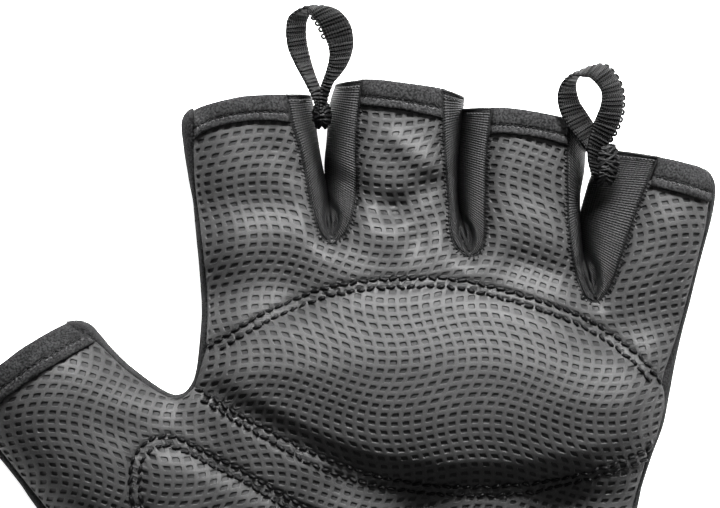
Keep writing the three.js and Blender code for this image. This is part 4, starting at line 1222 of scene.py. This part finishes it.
# Each loop's two edges from its left end round to its right one. The upper edge is the higher one in space.
LOOPS = {
    "index_middle_pull_loop": {
        "upper": plan(
            (317.5, 116), (316, 104), (310.3, 91), (304.4, 79.6), (298.3, 68.9), (292.9, 58.2), (288.3, 47.4), (286.4, 36),
            (286.3, 26), (288.5, 17), (293.5, 12), (300, 8.6), (305.5, 7), (308, 8.8), (310, 12), (313.5, 16.5),
            (317.3, 21), (321.4, 27.8), (324.7, 35.7), (327.7, 43), (329.6, 51), (329.4, 58.5), (328, 65.5),
            (326, 72.5), (323.5, 79.5), (321.4, 86), (320.5, 95), (320, 106), (320, 116),
        ),
        "lower": plan(
            (321, 116), (321.5, 104), (319.5, 87.5), (315.2, 75.5), (311.3, 64), (308.6, 53.5), (306.2, 42.5), (305.1, 32),
            (305.2, 23), (306.3, 17.5), (308.3, 13), (310.5, 9.5), (313.5, 6.5), (318, 4.6), (324, 4),
            (333, 6), (341, 10.5), (347.5, 18), (351.5, 26.5), (353, 37), (352.6, 46), (350, 55.5), (345.5, 64.5),
            (339.5, 72.5), (333, 79.8), (329.5, 87.5), (326.5, 96), (325, 106), (325, 116),
        ),
        "height": ((0, 15.5), (0.1, 16.5), (0.3, 18.0), (0.5, 19.0), (0.7, 18.6), (0.9, 17.6), (1, 16.5)),
        "picots": (False, 0.47, 0.68),
    },
    "ring_little_pull_loop": {
        "upper": plan(
            (597, 170), (592, 160), (587.5, 150), (582, 142), (575.5, 134.3), (569, 126), (563.5, 117), (560, 108),
            (558.3, 98.5), (559.3, 90), (562.5, 83), (567.5, 78), (572.5, 75.5), (577.5, 75.8), (582.5, 76.5),
            (588.5, 77), (593.5, 80.5), (598, 85.5), (601.3, 91.5), (601.9, 99), (600.2, 107.5), (597.2, 115.5),
            (594, 122.5), (591.5, 130), (589.3, 138.5), (588, 148), (588, 158), (589.5, 166), (592, 173),
        ),
        "lower": plan(
            (608, 160), (606, 150), (602.5, 140), (599, 131), (594.5, 122), (590, 115), (585.5, 108.5), (581.5, 102.5),
            (578.8, 96), (577.3, 89), (577, 83), (578.5, 78), (581.5, 73.5), (586, 69.5), (592, 66),
            (601, 64.4), (609, 67), (616, 75), (621.3, 85), (623.3, 96), (623, 107.5), (620.8, 118.5),
            (616.5, 130), (611, 139.5), (607.5, 147), (606, 156), (606.5, 165), (608, 173), (609, 179),
        ),
        "height": ((0, 18.6), (0.12, 19.4), (0.3, 21.0), (0.5, 23.0), (0.7, 23.5), (0.88, 22.6), (1, 21.6)),
        "picots": (True, 0.52, 0.93),
    },
}
LOOP_STATIONS = 760


def loop_edges(row):
    upper, lower = by_index(row["upper"], LOOP_STATIONS), by_index(row["lower"], LOOP_STATIONS)
    shares = np.linspace(0, 1, LOOP_STATIONS)
    level = np.interp(shares, *np.array(row["height"]).T)
    flat = np.linalg.norm(upper - lower, axis=1)
    rise = np.sqrt(np.maximum(RIBBON_WIDTH ** 2 - flat ** 2, 0.3)) / 2
    window = np.hanning(25) / np.hanning(25).sum()
    rise = np.convolve(np.pad(rise, 12, "edge"), window, "valid")
    return np.column_stack((upper, level + rise)), np.column_stack((lower, level - rise))


RIB_PITCH = 0.95
PICOT_PITCH = 1.55
PICOT_REACH = 0.46


def picots(edge, other, first, last):
    """Small thread eyes along a ribbon's edge, between two shares of its length."""
    start, end = int(first * LOOP_STATIONS), int(last * LOOP_STATIONS)
    edge, other = edge[start:end], other[start:end]
    walked = np.concatenate(([0], np.cumsum(np.linalg.norm(np.diff(edge, axis=0), axis=1))))
    turn = np.linspace(0, 2 * math.pi, 13)[:, None]
    eyes = []
    for at in np.arange(0.6, walked[-1] - 0.6, PICOT_PITCH):
        spot = int(np.searchsorted(walked, at))
        out = edge[spot] - other[spot]
        out /= np.linalg.norm(out)
        along = edge[min(spot + 2, len(edge) - 1)] - edge[max(spot - 2, 0)]
        along /= np.linalg.norm(along)
        middle = edge[spot] + out * PICOT_REACH * 0.4
        eyes.append(tube(middle + PICOT_REACH * (np.cos(turn) * along + np.sin(turn) * out), 0.26, 6))
    return eyes


def add_loops():
    for name, row in LOOPS.items():
        upper, lower = loop_edges(row)
        made, _ = ribbon(f"{name}_webbing", upper, lower, RIBBON_THICKNESS, RIB_PITCH, 0.16, 0.2, WEBBING_LOOK)
        finish_piece(made, name, slot="webbing")
        outer, first, last = row["picots"]
        edges = (lower, upper) if outer else (upper, lower)
        finish_piece(joined(f"{name}_picots", picots(*edges, first, last), WEBBING_LOOK))


add_loops()


def tangle(name, centre, half, turns, radius, seed):
    """A bar tack: thread wound many times round a band's ends, as a soft knot."""
    rng = np.random.default_rng(seed)
    angle = np.linspace(0, turns * 2 * math.pi, turns * 16)
    share = np.sin(angle * 0.23 + rng.random() * 6)
    swell = np.sqrt(np.clip(1 - (share * 0.92) ** 2, 0.08, 1)) * (1 + 0.09 * rng.normal(size=len(angle)))
    lean = 0.5 * np.sin(angle * 0.11)
    path = np.column_stack((
        half[0] * swell * np.cos(angle), half[1] * share + half[0] * lean * np.cos(angle),
        half[2] * swell * np.sin(angle),
    )) + np.array(centre)
    return joined(name, [tube(path, radius, 6)], THREAD_LOOK)


def add_tacks():
    first, second = plan((321.5, 113), (606, 163))
    finish_piece(tangle("index_middle_bar_tack", (*first, 16.5), (1.75, 2.1, 2.6), 28, 0.32, 3))
    finish_piece(tangle("ring_little_bar_tack", (*second, 21.5), (2.6, 3.2, 1.6), 40, 0.34, 4))


add_tacks()


def add_stitches():
    rows = {
        "palm_pad_top_stitches": (STITCH_ROWS["pad_top"], PAD_INNER_ROW),
        "palm_pad_low_stitches": (STITCH_ROWS["pad_low"], STITCH_ROWS["pad_second"]),
        "heel_pad_stitches": (HEEL_ROW, HEEL_INNER_ROW),
    }
    for seed, (name, runs) in enumerate(rows.items()):
        parts = []
        for run in runs:
            parts += stitch_row(run, 2.1, 1.6, 0.4, 0.5, seed=seed + 11, lift=0.14)
        finish_piece(joined(name, parts, THREAD_LOOK))


add_stitches()
